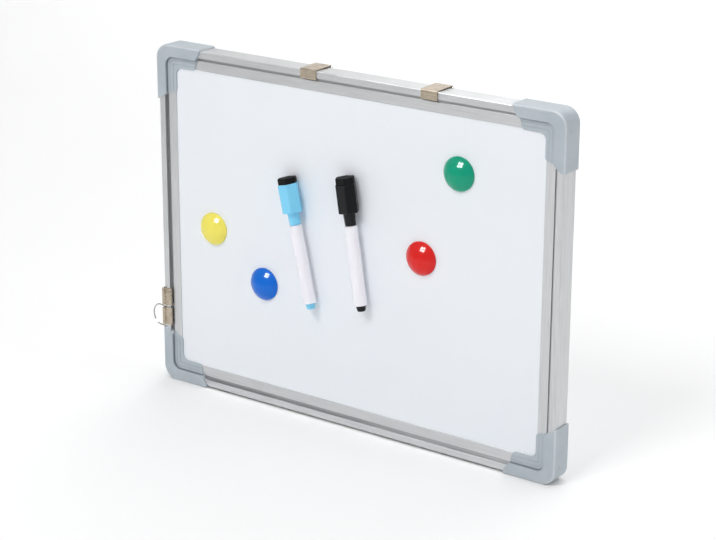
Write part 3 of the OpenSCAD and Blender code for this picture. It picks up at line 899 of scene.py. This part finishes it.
class WHITEBOARD_OT_rails(Operator):
    """Build the four aluminium rails with rounded creases and their hollow chamber"""

    bl_idname = "whiteboard.rails"
    bl_label = "Rails"

    def execute(self, context):
        sizes = context.scene.whiteboard_frame
        look = context.scene.whiteboard_finishes
        names = {"X": "rail_aluminium_long", "Z": "rail_aluminium_short"}
        metal = {along: rail_aluminium(look, name, along) for along, name in names.items()}
        for side, (along, inward) in SIDES.items():
            node = f"{side}_rail"
            low, high = node_box(node)
            size, inward = high - low, np.array(inward, float)
            face = (low + high) / 2 - inward * size / 2
            reach = np.eye(3)["XYZ".index(along)] * size / 2
            depth, width = size[1], size @ np.abs(inward)
            axes = inward, (0, 1, 0)
            body = prism(rail_outline(sizes, depth, width), face - reach, face + reach, *axes)
            past = 1.1 * reach
            hollow = prism(chamber_outline(sizes, depth), face - past, face + past, *axes)
            mesh = cut(new_mesh(node, body), hollow)
            points = places(mesh) - face
            # Painted shade: vertices on the groove's deep floor are marked for darkening.
            across = np.abs(points @ inward - sizes.band - sizes.groove / 2)
            drop = depth / 2 - np.abs(points[:, 1])
            deep = drop > (sizes.inner_drop + sizes.groove_depth) / 2
            mark(mesh, "grime", np.where(deep & (across < 0.6 * sizes.groove), 1.0, 0.0))
            make_piece(node, "drawn", mesh, metal[along], "frame")
        return {"FINISHED"}


# ---------------------------------------------------------------- corner caps


class CapForm:
    """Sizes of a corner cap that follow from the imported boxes.

    Half its depth, the length and width of a leg, the step line's distance from the outer edge, the
    depth at the step's foot, and where the rails start. The outer corner is at X = Z = 0.
    """

    def __init__(self, sizes):
        (low, high), (rail_low, rail_high) = node_box("corner_bottom_left"), node_box("bottom_rail")
        self.half, self.leg = (high - low)[1] / 2, (high - low)[0]
        self.width = sizes.cap_wall + (rail_high - rail_low)[2] + sizes.cap_lip
        self.step = sizes.cap_wall + sizes.band + sizes.groove
        self.low = self.half - sizes.cap_wall - sizes.inner_drop + sizes.cap_inner_wall
        self.rail_start = rail_low[0] - low[0]


def cap_outline(sizes, form):
    """Section of a cap's leg as (inwards, depth) points.

    From the inner side over three bands with a fine ridge between them, up one soft step at the
    groove line to the outer band, and round a quarter circle to the outer side; then mirrored.
    """
    half, width, step, low = form.half, form.width, form.step, form.low
    soft, foot, edge = sizes.cap_soft, sizes.cap_foot, sizes.cap_edge
    lowest = low - 2 * sizes.cap_ridge
    tip, ridge_half, apart = width - sizes.cap_tip, 0.12 * MM, 0.2 * MM
    third = (width - step) / 3
    ridges = step + np.array([1, 1, 2, 2]) * third + np.array([-1, 1, -1, 1]) * ridge_half
    round_tip = tip + (sizes.cap_tip - soft) * np.sin(np.radians(np.linspace(80, 8, 10)))
    bands = np.linspace(tip - apart, step + foot + apart, 20)
    rows = np.sort(np.concatenate([round_tip, bands, ridges]))[::-1]
    drops = np.interp(rows, ridges, np.array([0, 1, 1, 2]) * sizes.cap_ridge)
    crown = np.linspace(step - 0.8 * MM, edge + 0.3 * MM, 18)
    return both_halves(
        np.vstack(
            [
                [(width, sizes.mouth - 1 * MM), (width, lowest - 2 * soft)],
                arc((width - soft, lowest - soft), soft, 0, 90, 7),
                stacked(rows, low - drops),
                arc((step + foot, low + foot), foot, 270, 180, 7),
                arc((step - soft, half - soft), soft, 0, 90, 7),
                stacked(crown, half),
                arc((edge, half - edge), edge, 90, 180, 12),
                [(0, half - 2 * edge), (0, half / 4)],
            ]
        )
    )


def leg_length(sizes, form, inward):
    """Length of a cap's leg at a distance in from its outer edge.

    Square at the outer edge, then two slants, then a circle's arc round the inner tip.
    """
    cuts = [0, 0, sizes.cap_slant_cut, sizes.cap_mid_cut, sizes.cap_inner_cut]
    stations = [0, sizes.cap_square, sizes.cap_slant_at, form.step, form.width]
    slanted = form.leg - np.interp(inward, stations, cuts)
    lean = atan2(cuts[4] - cuts[3], form.width - form.step)
    centre = form.leg - cuts[4] - sizes.cap_tip * tan((QUARTER - lean) / 2)
    off = inward - (form.width - sizes.cap_tip)
    round_end = centre + np.sqrt(np.maximum(sizes.cap_tip**2 - off**2, 0))
    return np.where(off > sizes.cap_tip * sin(lean), round_end, slanted)


def round_corner(sizes, form, inward, leg_end):
    """Path at each distance in from the edge: along one leg, round the corner, along the other.

    At distance w the path turns about the point (c, c) with the radius c - w, where c runs from the
    outer corner's centre to the step's and on to the inner fillet's.
    """
    step, width = form.step, form.width
    stations = [0, sizes.cap_edge, step - 0.8 * MM, width - 3.1 * MM, width - 0.9 * MM]
    centres = [sizes.cap_corner] * 2 + [step + sizes.cap_step_corner] * 2
    centre = np.interp(inward, stations, centres + [width + sizes.cap_fillet])
    along = leg_end + (centre - leg_end) * np.linspace(0, 1, 14)[:-1, None]
    first = stacked(along, inward)
    turn = np.linspace(0, QUARTER, 24)[:, None]
    radius = centre - inward
    corner = stacked(centre - radius * np.sin(turn), centre - radius * np.cos(turn))
    return np.concatenate([first, corner, first[::-1, :, ::-1]])


def cap_body(sizes, form, outline):
    """Solid form of a corner cap, its outer corner at X = Z = 0 and its legs along +X and +Z.

    The section is carried round the corner, each leg's end rounded by a quarter circle.
    """
    bevel = sizes.cap_bevel
    reach = leg_length(sizes, form, outline[:, 0]) - bevel
    path = round_corner(sizes, form, outline[:, 0], reach)
    depths = np.broadcast_to(outline[:, 1], path.shape[:2])[..., None]
    rims = []
    for turn in np.radians([90, 60, 30]):
        shrunk = inset(outline, bevel * (1 - cos(turn)))
        rims.append(stacked(reach + bevel * sin(turn), *shrunk.T))
    far_rims = np.array(rims[::-1])[..., [1, 0, 2]]
    grid = np.concatenate([rims, np.concatenate([path, depths], -1), far_rims])
    rows, columns = grid.shape[:2]
    near = np.arange(columns // 2 - 1)
    flap = stacked(near, near + 1, columns - 2 - near, columns - 1 - near)
    faces = [grid_faces(rows, columns), flap[:, ::-1], flap + (rows - 1) * columns]
    return outwards(grid.reshape(-1, 3)[:, [0, 2, 1]], faces)


def cap_marks(sizes, form, outline):
    """How strongly the painted highlight and the painted shade lie on each point of a cap's
    outline, from 0 to 1.

    The painted highlight falls off as a bell curve round the middle of the outer edge's arc, and
    the painted shade round the foot of the step and each fine ridge.
    """
    inward, depth = outline[:, 0], np.abs(outline[:, 1])
    edge, step = sizes.cap_edge, form.step

    def bell(distance, spread):
        return np.exp(-((distance / spread) ** 2))

    # Painted highlight, strongest on the middle of the rounded outer edge.
    off = np.hypot(inward - 0.3 * edge, depth - form.half + 0.3 * edge)
    # Painted shade at the foot of the step and along the fine ridges.
    foot = np.hypot(inward - step - 0.15 * MM, depth - form.low - 0.15 * MM)
    crease = bell(foot, 0.7 * MM)
    for ridge in (1, 2):
        line = step + ridge * (form.width - step) / 3
        crease += 0.35 * np.where(depth > sizes.mouth, bell(inward - line, 0.28 * MM), 0)
    return {"rubbed": bell(off, 0.4 * edge), "crease": np.minimum(crease, 1)}


def swapped(shell):
    """A surface with its X and Z axes changed over."""
    return moved(shell, [2, 1, 0])


def cap_tools(sizes, form):
    """What is cut out of a cap: room for both rails and the panel, and the gate mark."""
    half, leg, fit, wall = form.half, form.leg, sizes.cap_fit, sizes.cap_wall
    outer = half - wall + fit
    floor, inner = outer - sizes.groove_depth, outer - sizes.inner_drop
    band_end, groove_end = wall + sizes.band + fit, form.step - fit
    sleeve = both_halves(
        [
            (form.width - sizes.cap_lip + fit, inner),
            (groove_end, inner),
            (groove_end, floor),
            (band_end, floor),
            (band_end, outer),
            (wall - fit, outer),
        ]
    )
    ends = (form.rail_start - fit, 0, 0), (2 * leg, 0, 0)
    leg_room = prism(sleeve, *ends, (0, 0, 1), (0, 1, 0))
    near, far = form.step + sizes.wall, 3 * leg
    square = np.array([(near, near), (far, near), (far, far), (near, far)])
    sides = (0, -sizes.mouth, 0), (0, sizes.mouth, 0)
    panel_room = prism(square, *sides, (1, 0, 0), (0, 0, 1))
    r, d = sizes.gate, sizes.gate_depth
    dish = turned_profile([(0, -d), (r - d, -d), (r - 0.1 * d, -0.1 * d), (r, d), (0, d)], 40)
    spot = (0, -(half - wall) / 2, sizes.cap_corner + 2 * r)
    return leg_room, swapped(leg_room), panel_room, moved(dish, [2, 1, 0], (-1, 1, 1), spot)


def cap_tongue(sizes, form):
    """The tongue that a cap pushes into a rail's chamber, with a chamfered lead."""
    fit, lead = sizes.tongue_fit, sizes.tongue_lead
    across = form.half - sizes.cap_wall - sizes.groove_depth - sizes.wall - fit
    low, high = sizes.cap_wall + sizes.wall + fit, form.step - fit
    back = form.rail_start - lead
    tip = back + sizes.tongue
    end = [(tip, low), (tip + lead, low + lead), (tip + lead, high - lead), (tip, high)]
    outline = rounded_outline([(back, low), *end, (back, high)], 0.2 * MM, 3)
    return prism(outline, (0, -across, 0), (0, across, 0), (1, 0, 0), (0, 0, 1))


class WHITEBOARD_OT_corner_caps(Operator):
    """Build the four moulded corner caps, hollow for the rails and with their tongues"""

    bl_idname = "whiteboard.corner_caps"
    bl_label = "Corner caps"

    def execute(self, context):
        sizes = context.scene.whiteboard_frame
        plastic = corner_plastic(context.scene.whiteboard_finishes)
        form = CapForm(sizes)
        outline = cap_outline(sizes, form)
        shell = cap_body(sizes, form, outline)
        body = new_mesh("cap", shell)
        # Marks for the painted highlight on the outer edges and the painted shade in the creases.
        for name, values in cap_marks(sizes, form, outline).items():
            mark(body, name, np.tile(values, len(shell[0]) // len(outline)))
        whole = add_object("whole", cut(body, *cap_tools(sizes, form)))
        tongue = cap_tongue(sizes, form)
        tongues = add_object("tongues", new_mesh("tongues", tongue, swapped(tongue)))
        both = [whole, tongues]
        with context.temp_override(active_object=whole, selected_editable_objects=both):
            bpy.ops.object.join()
        pattern = whole.data
        bpy.data.objects.remove(whole)
        rest = places(pattern)
        for name in ("bottom_left", "bottom_right", "top_left", "top_right"):
            node = f"corner_{name}"
            low, high = node_box(node)
            mirror = np.array([-1 if "right" in name else 1, 1, -1 if "top" in name else 1])
            corner = np.where(mirror < 0, high, low)
            corner[1] = (low[1] + high[1]) / 2
            mesh = pattern.copy()
            mesh.vertices.foreach_set("co", (rest * mirror + corner).ravel())
            if mirror.prod() < 0:
                mesh.flip_normals()
            mesh.update()
            make_piece(node, "moulded", mesh, plastic, "frame")
        return {"FINISHED"}


# ---------------------------------------------------------------- hooks and rings


def bent_path(start, heading, steps, turn_points=12):
    """Points and left-hand normals of a line that runs straight and turns in arcs.

    Each step is (straight length, radius, turn), angles in radians, a positive turn to the left. In
    an arc the point lies its radius to the right of the centre's left-hand normal.
    """
    place, points, normals = np.array(start, float), [], []
    for run, radius, turn in steps:
        left = np.array([-sin(heading), cos(heading)])
        swept = heading + turn * np.linspace(0, 1, turn_points)
        lefts = stacked(-np.sin(swept), np.cos(swept))
        bend_start = place + run * np.array([cos(heading), sin(heading)])
        curve = bend_start + np.sign(turn) * radius * (left - lefts)
        points += [place[None], curve]
        normals += [left[None], lefts]
        place, heading = curve[-1], heading + turn
    points, normals = np.vstack(points), np.vstack(normals)
    apart = np.linalg.norm(np.diff(points, axis=0), axis=1) > 1e-7
    keep = np.concatenate([[True], apart])
    return points[keep], normals[keep]


def hook_surface(sizes, half, width):
    """A hook: a rounded strip carried along its bends, drawn over a top rail's outer face."""
    t = sizes.thick
    bend = sizes.bend + t / 2
    knuckle = sizes.wire / 2 + sizes.fit + t / 2
    leg_y = half + sizes.gap + t / 2
    first_z = sizes.gap + t / 2 - bend
    lip_z = -(sizes.reach - t / 2)
    lip_run = leg_y - bend - (half - sizes.lip)
    run = 2 * leg_y
    span = hypot(run, first_z)
    slope = float(np.arcsin((knuckle - bend) / span) - np.arctan2(first_z, run))
    plate = float(np.sqrt(span**2 - (knuckle - bend) ** 2))
    steps = [
        (lip_run, bend, -QUARTER),
        (first_z - bend - lip_z, bend, slope - QUARTER),
        (plate, knuckle, -2 * QUARTER - slope),
        (0, bend, QUARTER),
        (-lip_z - knuckle - 2 * bend, bend, -QUARTER),
        (lip_run, 0, 0),
    ]
    path, normals = bent_path((-(half - sizes.lip), lip_z), pi, steps)
    r = sizes.deburr
    corners = np.array([(-1, -1), (1, -1), (1, 1), (-1, 1)]) * (width / 2, t / 2)
    outline = rounded_outline(corners, r, 4)
    small = inset(outline, 0.7 * r)
    sections = np.array([small] + [outline] * len(path) + [small])
    start, end = path[0].copy(), path[-1].copy()
    path[0] += r * unit(path[1] - path[0])
    path[-1] -= r * unit(path[-1] - path[-2])
    path = np.vstack([start, path, end])[:, None]
    normals = np.vstack([normals[0], normals, normals[-1]])[:, None]
    return tube(np.concatenate([sections[..., :1], path + normals * sections[..., 1:]], -1))


def ring_surface(sizes, width, swing=0.0):
    """A wire ring that hangs from its knuckle: a round section along a closed flat path.

    The path is the straight back, two small bends, two arms and half a circle. swing turns it about
    the knuckle's axis.
    """
    wire, bend = sizes.wire / 2, sizes.ring_bend
    half = width / 2 + sizes.ring_gap + wire
    back, arm = half - bend, sizes.ring - half - bend
    steps = [(2 * back, bend), (arm, half), (0, half), (arm, bend)]
    path, normals = bent_path((-back, 0), 0.0, [(*step, -QUARTER) for step in steps], 28)
    around = circle(20)
    line = path[:-1, None] + normals[:-1, None] * (wire * np.cos(around))[:, None]
    x, z = line[..., 0], line[..., 1]
    y = wire * np.sin(around)
    c, s = cos(swing), sin(swing)
    return tube(stacked(x, y * c - z * s, y * s + z * c), ring=True)


def on_left_rail(shell):
    """A surface drawn over a top rail, turned onto the left rail with its knuckle in front."""
    return moved(shell, [2, 1, 0], (-1, -1, 1))


class WHITEBOARD_OT_hooks(Operator):
    """Build the bent strip hooks on the top and left rails"""

    bl_idname = "whiteboard.hooks"
    bl_label = "Hooks"

    def execute(self, context):
        nickel = hook_nickel(context.scene.whiteboard_finishes)
        half, width = node_size("top_rail")[1] / 2, node_size(TOP_HOOKS[0])[0]
        hook = hook_surface(context.scene.whiteboard_hooks, half, width)
        for node in TOP_HOOKS + SIDE_HOOKS:
            shell = hook if node in TOP_HOOKS else on_left_rail(hook)
            make_piece(node, "strip", over_node(shell, node), nickel, node)
        return {"FINISHED"}


class WHITEBOARD_OT_rings(Operator):
    """Build the wire rings that swing in the hooks' knuckles"""

    bl_idname = "whiteboard.rings"
    bl_label = "Rings"

    def execute(self, context):
        sizes = context.scene.whiteboard_hooks
        wire = ring_wire(context.scene.whiteboard_finishes)
        width = node_size(TOP_HOOKS[0])[0]
        hanging = ring_surface(sizes, width)
        side = on_left_rail(ring_surface(sizes, width, pi + sizes.side_swing))
        rings = {"ring_top_left": hanging, "ring_top_right": hanging, "ring_side": side}
        for node, shell in rings.items():
            make_piece(node, "wire", over_node(shell, node), wire, node, sharp=60)
        return {"FINISHED"}


# ---------------------------------------------------------------- magnets


def dome(radius, top, reach, steps):
    """Points down a sphere's crown from the axis to a distance out: (radius, height) pairs."""
    turn = np.linspace(0, float(np.arcsin(reach / radius)), steps)
    return stacked(radius * np.sin(turn), top - radius + radius * np.cos(turn))


def magnet_surface(sizes, radius, disc_radius, disc_rise):
    """A button magnet's shell: a shallow dome over a short rim, hollow behind its disc.

    The dome's sphere has the radius (r^2 + h^2) / 2h for the rim's radius r and its own height h.
    """
    high, rim = sizes.magnet_rise, sizes.magnet_rim
    soft, wall = sizes.magnet_soft, sizes.magnet_wall
    rise = high - rim
    sphere = (radius**2 + rise**2) / (2 * rise)
    pocket, ledge = disc_radius + sizes.disc_fit, disc_rise + sizes.disc_fit
    inner = pocket - sizes.disc_ledge
    mouth = 0.1 * MM
    profile = np.vstack(
        [
            dome(sphere, high, radius - 0.7 * soft, 30),
            [
                (radius - 0.3 * soft, rim + 0.25 * soft),
                (radius - 0.06 * soft, rim - 0.2 * soft),
                (radius, rim - 0.8 * soft),
            ],
            arc((radius - soft, soft), soft, 0, -90, 6),
            arc((pocket + mouth, mouth), mouth, 270, 180, 3),
            [(pocket, ledge), (inner, ledge)],
            dome(sphere - wall, high - wall, inner, 16)[::-1],
        ]
    )
    return turned_profile(profile, 112)


class WHITEBOARD_OT_magnets(Operator):
    """Build the four coloured button magnets and dress their ferrite discs"""

    bl_idname = "whiteboard.magnets"
    bl_label = "Magnets"

    def execute(self, context):
        look = context.scene.whiteboard_finishes
        radius, disc = node_size("magnet_yellow")[0] / 2, node_size("magnet_yellow_disc")
        shell = magnet_surface(context.scene.whiteboard_loose, radius, disc[0] / 2, disc[1])
        shell = moved(shell, [0, 2, 1], (1, -1, 1))
        discs = ferrite(look)
        for name in MAGNETS:
            node = f"magnet_{name}"
            plastic = gloss_plastic(node, getattr(look, name))
            make_piece(node, "button", over_node(shell, node), plastic, node, sharp=40)
            dress_nodes(discs, node + "_disc")
        return {"FINISHED"}


# ---------------------------------------------------------------- markers


def hexagonal(flats, heights, circles=(), circle_heights=()):
    """Surface round Z with hexagonal rows and then round rows, from pole to pole.

    A hexagonal row's radius joins the three pairs of flats by a power mean, so that a higher power
    gives sharper edges, and its angles lie closer together near the six edges.
    """
    power = 44
    around = circle(168)
    around = around - 0.12 * np.sin(6 * around)
    turns = np.radians([30, 90, 150])[:, None]
    share = (np.abs(np.cos(around - turns)) ** power).sum(0) ** (1 / power)
    rows = [flat / share for flat in flats] + [np.full(len(around), r) for r in circles]
    return turned(np.array(rows), np.concatenate([heights, circle_heights]), around)


def cap_block_surface(sizes):
    """A marker cap: a hexagonal block, a tapered round collar below it and the socket inside."""
    half, rise, edge = sizes.block / 2, sizes.block_rise, sizes.block_edge
    rows = np.vstack(
        [
            [(0, rise), (0.6 * half, rise)],
            arc((half - edge, rise - edge), edge, 90, 0, 6),
            arc((half - edge, edge), edge, 0, -90, 6),
        ]
    )
    start, end, low = sizes.collar_top, sizes.collar_end, -sizes.collar
    foot, soft, mouth, bore = 0.4 * MM, 0.3 * MM, 0.2 * MM, sizes.socket
    collar = np.vstack(
        [
            [(start + 0.5 * MM, 0)],
            arc((start + foot, -foot), foot, 90, 180, 4),
            [((start + end) / 2, low / 2)],
            arc((end - soft, low + soft), soft, 0, -90, 4),
            [(bore + 0.75 * mouth, low), (bore, low + mouth)],
            [(bore, sizes.socket_up), (0, sizes.socket_up)],
        ]
    )
    return hexagonal(*rows.T, *collar.T)


def felt_surface(sizes):
    """A hexagonal felt pad with soft edges, its fibres straying a little each way."""
    half, low = sizes.block / 2 - sizes.felt_inset, sizes.block_rise
    high = low + sizes.felt
    edge, foot = sizes.felt_edge, 0.2 * MM
    rows = np.vstack(
        [
            [(0, high)],
            stacked(np.linspace(0.1, 0.92, 9) * half, high),
            arc((half - edge, high - edge), edge, 90, 0, 6),
            stacked(half, np.linspace(high - 2 * edge, low + edge, 14)),
            arc((half - foot, low + foot), foot, 0, -90, 3),
            [(0, low)],
        ]
    )
    points, faces = hexagonal(*rows.T)
    stray = np.random.default_rng(7).normal(0, sizes.fuzz, points.shape)
    stray[points[:, 2] < low + 0.3 * MM] = 0
    return points + np.clip(stray, -2 * sizes.fuzz, 2 * sizes.fuzz), faces


def on_flat(sizes, profile):
    """A turned form set square on the cap's flat that faces the board."""
    shift = (0, sizes.block / 2, sizes.seat_up)
    return moved(turned_profile(profile, 72), [0, 2, 1], shift=shift)


def cap_socket_tool(sizes):
    """The pocket for the magnet in the cap's flat that faces the board."""
    radius, depth = sizes.seat + 0.1 * MM, sizes.seat_deep + 0.1 * MM
    return on_flat(sizes, [(0, -depth), (radius, -depth), (radius, 1 * MM), (0, 1 * MM)])


def cap_disc_surface(sizes):
    """The magnet disc in that pocket, level with the cap's flat and slightly chamfered."""
    radius, depth, edge = sizes.seat, sizes.seat_deep, 0.2 * MM
    rim = [(radius - edge, -depth), (radius, edge - depth), (radius, -edge), (radius - edge, 0)]
    return on_flat(sizes, [(0, -depth), *rim, (0, 0)])


def barrel_ends(sizes):
    """Heights of a barrel's shoulder and of its lower end."""
    top = -sizes.collar - sizes.shoulder
    return top, top - sizes.barrel_long


def barrel_surface(sizes):
    """A barrel: an open tube with a narrow neck, its shoulder softly rounded."""
    top, end = barrel_ends(sizes)
    neck_top, inner_top = top + sizes.neck, top - sizes.barrel_wall
    bore, neck = sizes.barrel - sizes.barrel_wall, sizes.socket - sizes.neck_fit
    neck_bore = sizes.nib + sizes.holder + 2 * sizes.push_fit
    soft, lip, foot, mouth = sizes.shoulder_edge, 0.25 * MM, 0.3 * MM, 0.15 * MM
    profile = np.vstack(
        [
            [(bore, end + mouth), (bore, inner_top), (neck_bore, inner_top), (neck_bore, neck_top)],
            arc((neck - lip, neck_top - lip), lip, 90, 0, 4),
            [(neck, top)],
            arc((sizes.barrel - soft, top - soft), soft, 90, 0, 6),
            arc((sizes.barrel - foot, end + foot), foot, 0, -90, 4),
            [(bore + mouth, end)],
        ]
    )
    return turned_ring(profile)


def plug_surface(sizes):
    """An end plug: a tapered button with a soft tip, and the part pushed into the barrel."""
    end = barrel_ends(sizes)[1]
    low, high = end - sizes.plug, end + sizes.plug_in
    inner = sizes.barrel - sizes.barrel_wall - sizes.push_fit
    soft, lead = sizes.plug_soft, 0.3 * MM
    profile = np.vstack(
        [
            [(0, low)],
            arc((sizes.plug_tip - soft, low + soft), soft, -88, -5, 8),
            [(sizes.plug_top, end), (inner, end)],
            arc((inner - lead, high - lead), lead, 0, 90, 4),
            [(0, high)],
        ]
    )
    return turned_profile(profile)


def holder_surface(sizes):
    """A nib holder: a tube in the neck, a flange on its end and a cone round the nib."""
    top = barrel_ends(sizes)[0]
    seat = top + sizes.neck
    face, tip = seat + sizes.flange, seat + 0.6 * sizes.nib_out
    hole, outer = sizes.nib + sizes.push_fit, sizes.nib + sizes.holder + sizes.push_fit
    flange, soft = sizes.socket - sizes.neck_fit - sizes.holder, 0.2 * MM
    profile = np.vstack(
        [
            [(hole, top), (hole, tip), (sizes.nib + sizes.holder / 2, tip), (outer, face)],
            arc((flange - soft, face - soft), soft, 90, 0, 4),
            [(flange, seat), (outer, seat), (outer, top)],
        ]
    )
    return turned_ring(profile, 64)


def nib_surface(sizes):
    """A fibre nib with a bullet tip."""
    top, radius = barrel_ends(sizes)[0], sizes.nib
    foot, tip = top - sizes.barrel_wall, top + sizes.neck + sizes.nib_out
    bullet = arc((0, tip - radius), radius, 0, 90, 12)
    return turned_profile(np.vstack([[(0, foot), (radius, foot)], bullet]), 48)


def leaning(sizes, colour_name, shell):
    """A surface drawn upright, put in a marker's place.

    The marker turns about Y by its lean, and its place is found from the magnet in its cap.
    """
    lean = getattr(sizes, f"lean_{colour_name}")
    low, high = node_box(f"marker_{colour_name}_cap_magnet")
    c, s = cos(lean), sin(lean)
    turn = np.array([[c, 0, -s], [0, 1, 0], [s, 0, c]])
    seat = np.array([0, (sizes.block - sizes.seat_deep) / 2, sizes.seat_up])
    return outwards(shell[0] @ turn.T + (low + high) / 2 - turn @ seat, shell[1])


class WHITEBOARD_OT_marker_caps(Operator):
    """Build the hexagonal marker caps with their magnets and felt erasers"""

    bl_idname = "whiteboard.marker_caps"
    bl_label = "Marker caps"

    def execute(self, context):
        sizes = context.scene.whiteboard_loose
        look = context.scene.whiteboard_finishes
        felt = pressed_fibre("eraser_felt", look.felt)
        surfaces = cap_block_surface, cap_socket_tool, felt_surface, cap_disc_surface
        shells = [surface(sizes) for surface in surfaces]
        for name in MARKERS:
            marker = f"marker_{name}"
            cap = marker + "_cap"
            plastic = gloss_plastic(marker + "_plastic", getattr(look, marker), 0.35)
            block, pocket, pad, disc = (leaning(sizes, name, shell) for shell in shells)
            make_piece(cap, "moulded", cut(new_mesh(cap, block), pocket), plastic, cap)
            make_piece(marker + "_eraser", "pad", pad, felt, cap, sharp=75)
            make_piece(cap + "_magnet", "disc", disc, finish("ferrite"), cap)
        return {"FINISHED"}


class WHITEBOARD_OT_marker_bodies(Operator):
    """Build the marker barrels, end plugs, nibs and nib holders, and dress the reservoirs"""

    bl_idname = "whiteboard.marker_bodies"
    bl_label = "Marker bodies"

    def execute(self, context):
        sizes = context.scene.whiteboard_loose
        look = context.scene.whiteboard_finishes
        white = barrel_plastic(look)
        for name in MARKERS:
            marker = f"marker_{name}"
            ink = pressed_fibre(f"ink_{name}", getattr(look, f"ink_{name}"))
            for part, surface, material in (
                ("barrel", barrel_surface, white),
                ("end_plug", plug_surface, finish(marker + "_plastic")),
                ("nib_holder", holder_surface, white),
                ("nib", nib_surface, ink),
            ):
                shell = leaning(sizes, name, surface(sizes))
                make_piece(f"{marker}_{part}", "fine", shell, material, marker + "_barrel")
            dress_nodes(ink, marker + "_reservoir")
        return {"FINISHED"}


# ---------------------------------------------------------------- stage


def floor_mesh():
    """The pale floor and its curved rise behind, as an open grid."""
    bend, start, front, high = 1.2, 2.4, -6, 5
    rise = arc((start, bend), bend, -90, 0, 24)
    profile = np.vstack([[(front, 0)], rise, [(start + bend, high)]])[:, None]
    grid = stacked(np.linspace(-6, 6, 9), profile[..., 0], profile[..., 1])
    index = np.arange(grid.size // 3).reshape(grid.shape[:2])
    quads = stacked(index[:-1, :-1], index[:-1, 1:], index[1:, 1:], index[1:, :-1])
    mesh = new_mesh("floor", (grid.reshape(-1, 3), [quads.reshape(-1, 4)]))
    mesh.polygons.foreach_set("use_smooth", np.ones(len(mesh.polygons), bool))
    return mesh


def add_light(name, place, aim, width, height, watts):
    """Adds a soft rectangular light that faces a point."""
    data = bpy.data.lights.new(name, "AREA")
    data.shape = "RECTANGLE"
    data.size, data.size_y, data.energy = width, height, watts
    light = add_object(name, data)
    light.location = place
    x, y, z = np.subtract(aim, place)
    light.rotation_euler = (atan2(hypot(x, y), -z), 0, atan2(-x, y))
    return light


class WHITEBOARD_OT_stage(Operator):
    """Set up the floor, the light and the camera"""

    bl_idname = "whiteboard.stage"
    bl_label = "Stage"

    def execute(self, context):
        scene = context.scene
        stage = scene.whiteboard_stage
        floor = add_object("floor", floor_mesh())
        floor.data.materials.append(floor_paper(stage))

        world = bpy.data.worlds.new("pale_room")
        world.use_nodes = True
        tree = world.node_tree
        up = add_node(tree, "TexCoord").outputs["Generated"]
        height = remap(add_node(tree, "SeparateXYZ", (up,)).outputs[2], -0.1, 0.5)
        back = tree.nodes["Background"].inputs
        give(back["Color"], mix(height, (0.84, 0.85, 0.87), (1.0, 1.0, 1.0)))
        give(back["Strength"], stage.sky)
        scene.world = world
        scene.view_settings.view_transform = "Standard"

        aim, key = (0, 0, 0.18), (-0.03, -1.09, 1.35)
        add_light("key", key, aim, 0.6, 0.6, stage.key).visible_glossy = False
        for across in (-0.19, 0.19):
            for up in (-0.19, 0.19):
                place = np.array(key) + (across, 0.73 * up, 0.68 * up)
                add_light("pane", place, aim, 0.32, 0.32, stage.panes).visible_diffuse = False
        add_light("top", (0.2, 0.9, 2.3), aim, 2.4, 1.6, stage.top)
        add_light("back", (-0.7, 2.5, 2.2), (-0.7, 2.7, 0), 3.0, 1.4, stage.back)
        add_light("side", (1.7, 0.2, 0.9), aim, 0.9, 1.2, stage.side)

        data = bpy.data.cameras.new("camera")
        data.sensor_fit = "HORIZONTAL"
        data.sensor_width = 36
        data.lens = stage.lens
        data.clip_start = 0.02
        camera = add_object("camera", data)
        camera.location = stage.eye
        camera.rotation_euler = stage.turn
        scene.camera = camera
        return {"FINISHED"}


class WHITEBOARD_PT_panel(Panel):
    """Lists the builders and their sizes."""

    bl_idname = "WHITEBOARD_PT_panel"
    bl_label = "Whiteboard"
    bl_space_type = "VIEW_3D"
    bl_region_type = "UI"
    bl_category = "Whiteboard"

    def draw(self, context):
        for operator in OPERATORS:
            self.layout.operator(operator.bl_idname)
        for name in SETTINGS:
            box = self.layout.box()
            group = getattr(context.scene, name)
            for key in group.__annotations__:
                box.prop(group, key)


OPERATORS = (
    WHITEBOARD_OT_panel,
    WHITEBOARD_OT_rails,
    WHITEBOARD_OT_corner_caps,
    WHITEBOARD_OT_hooks,
    WHITEBOARD_OT_rings,
    WHITEBOARD_OT_magnets,
    WHITEBOARD_OT_marker_caps,
    WHITEBOARD_OT_marker_bodies,
    WHITEBOARD_OT_stage,
)
SETTINGS = {
    "whiteboard_frame": FrameSizes,
    "whiteboard_hooks": HookSizes,
    "whiteboard_loose": LooseSizes,
    "whiteboard_finishes": Finishes,
    "whiteboard_stage": StageSettings,
}


def register():
    """Adds the property groups, operators and panel."""
    for cls in (*SETTINGS.values(), *OPERATORS, WHITEBOARD_PT_panel):
        bpy.utils.register_class(cls)
    for name, cls in SETTINGS.items():
        setattr(bpy.types.Scene, name, PointerProperty(type=cls))


def unregister():
    """Takes them away again."""
    for name in SETTINGS:
        delattr(bpy.types.Scene, name)
    for cls in (WHITEBOARD_PT_panel, *reversed(OPERATORS), *reversed(SETTINGS.values())):
        bpy.utils.unregister_class(cls)


def main():
    """Builds everything."""
    register()
    bpy.ops.whiteboard.panel()
    bpy.ops.whiteboard.rails()
    bpy.ops.whiteboard.corner_caps()
    bpy.ops.whiteboard.hooks()
    bpy.ops.whiteboard.rings()
    bpy.ops.whiteboard.magnets()
    bpy.ops.whiteboard.marker_caps()
    bpy.ops.whiteboard.marker_bodies()
    bpy.ops.whiteboard.stage()


if __name__ == "__main__":
    main()
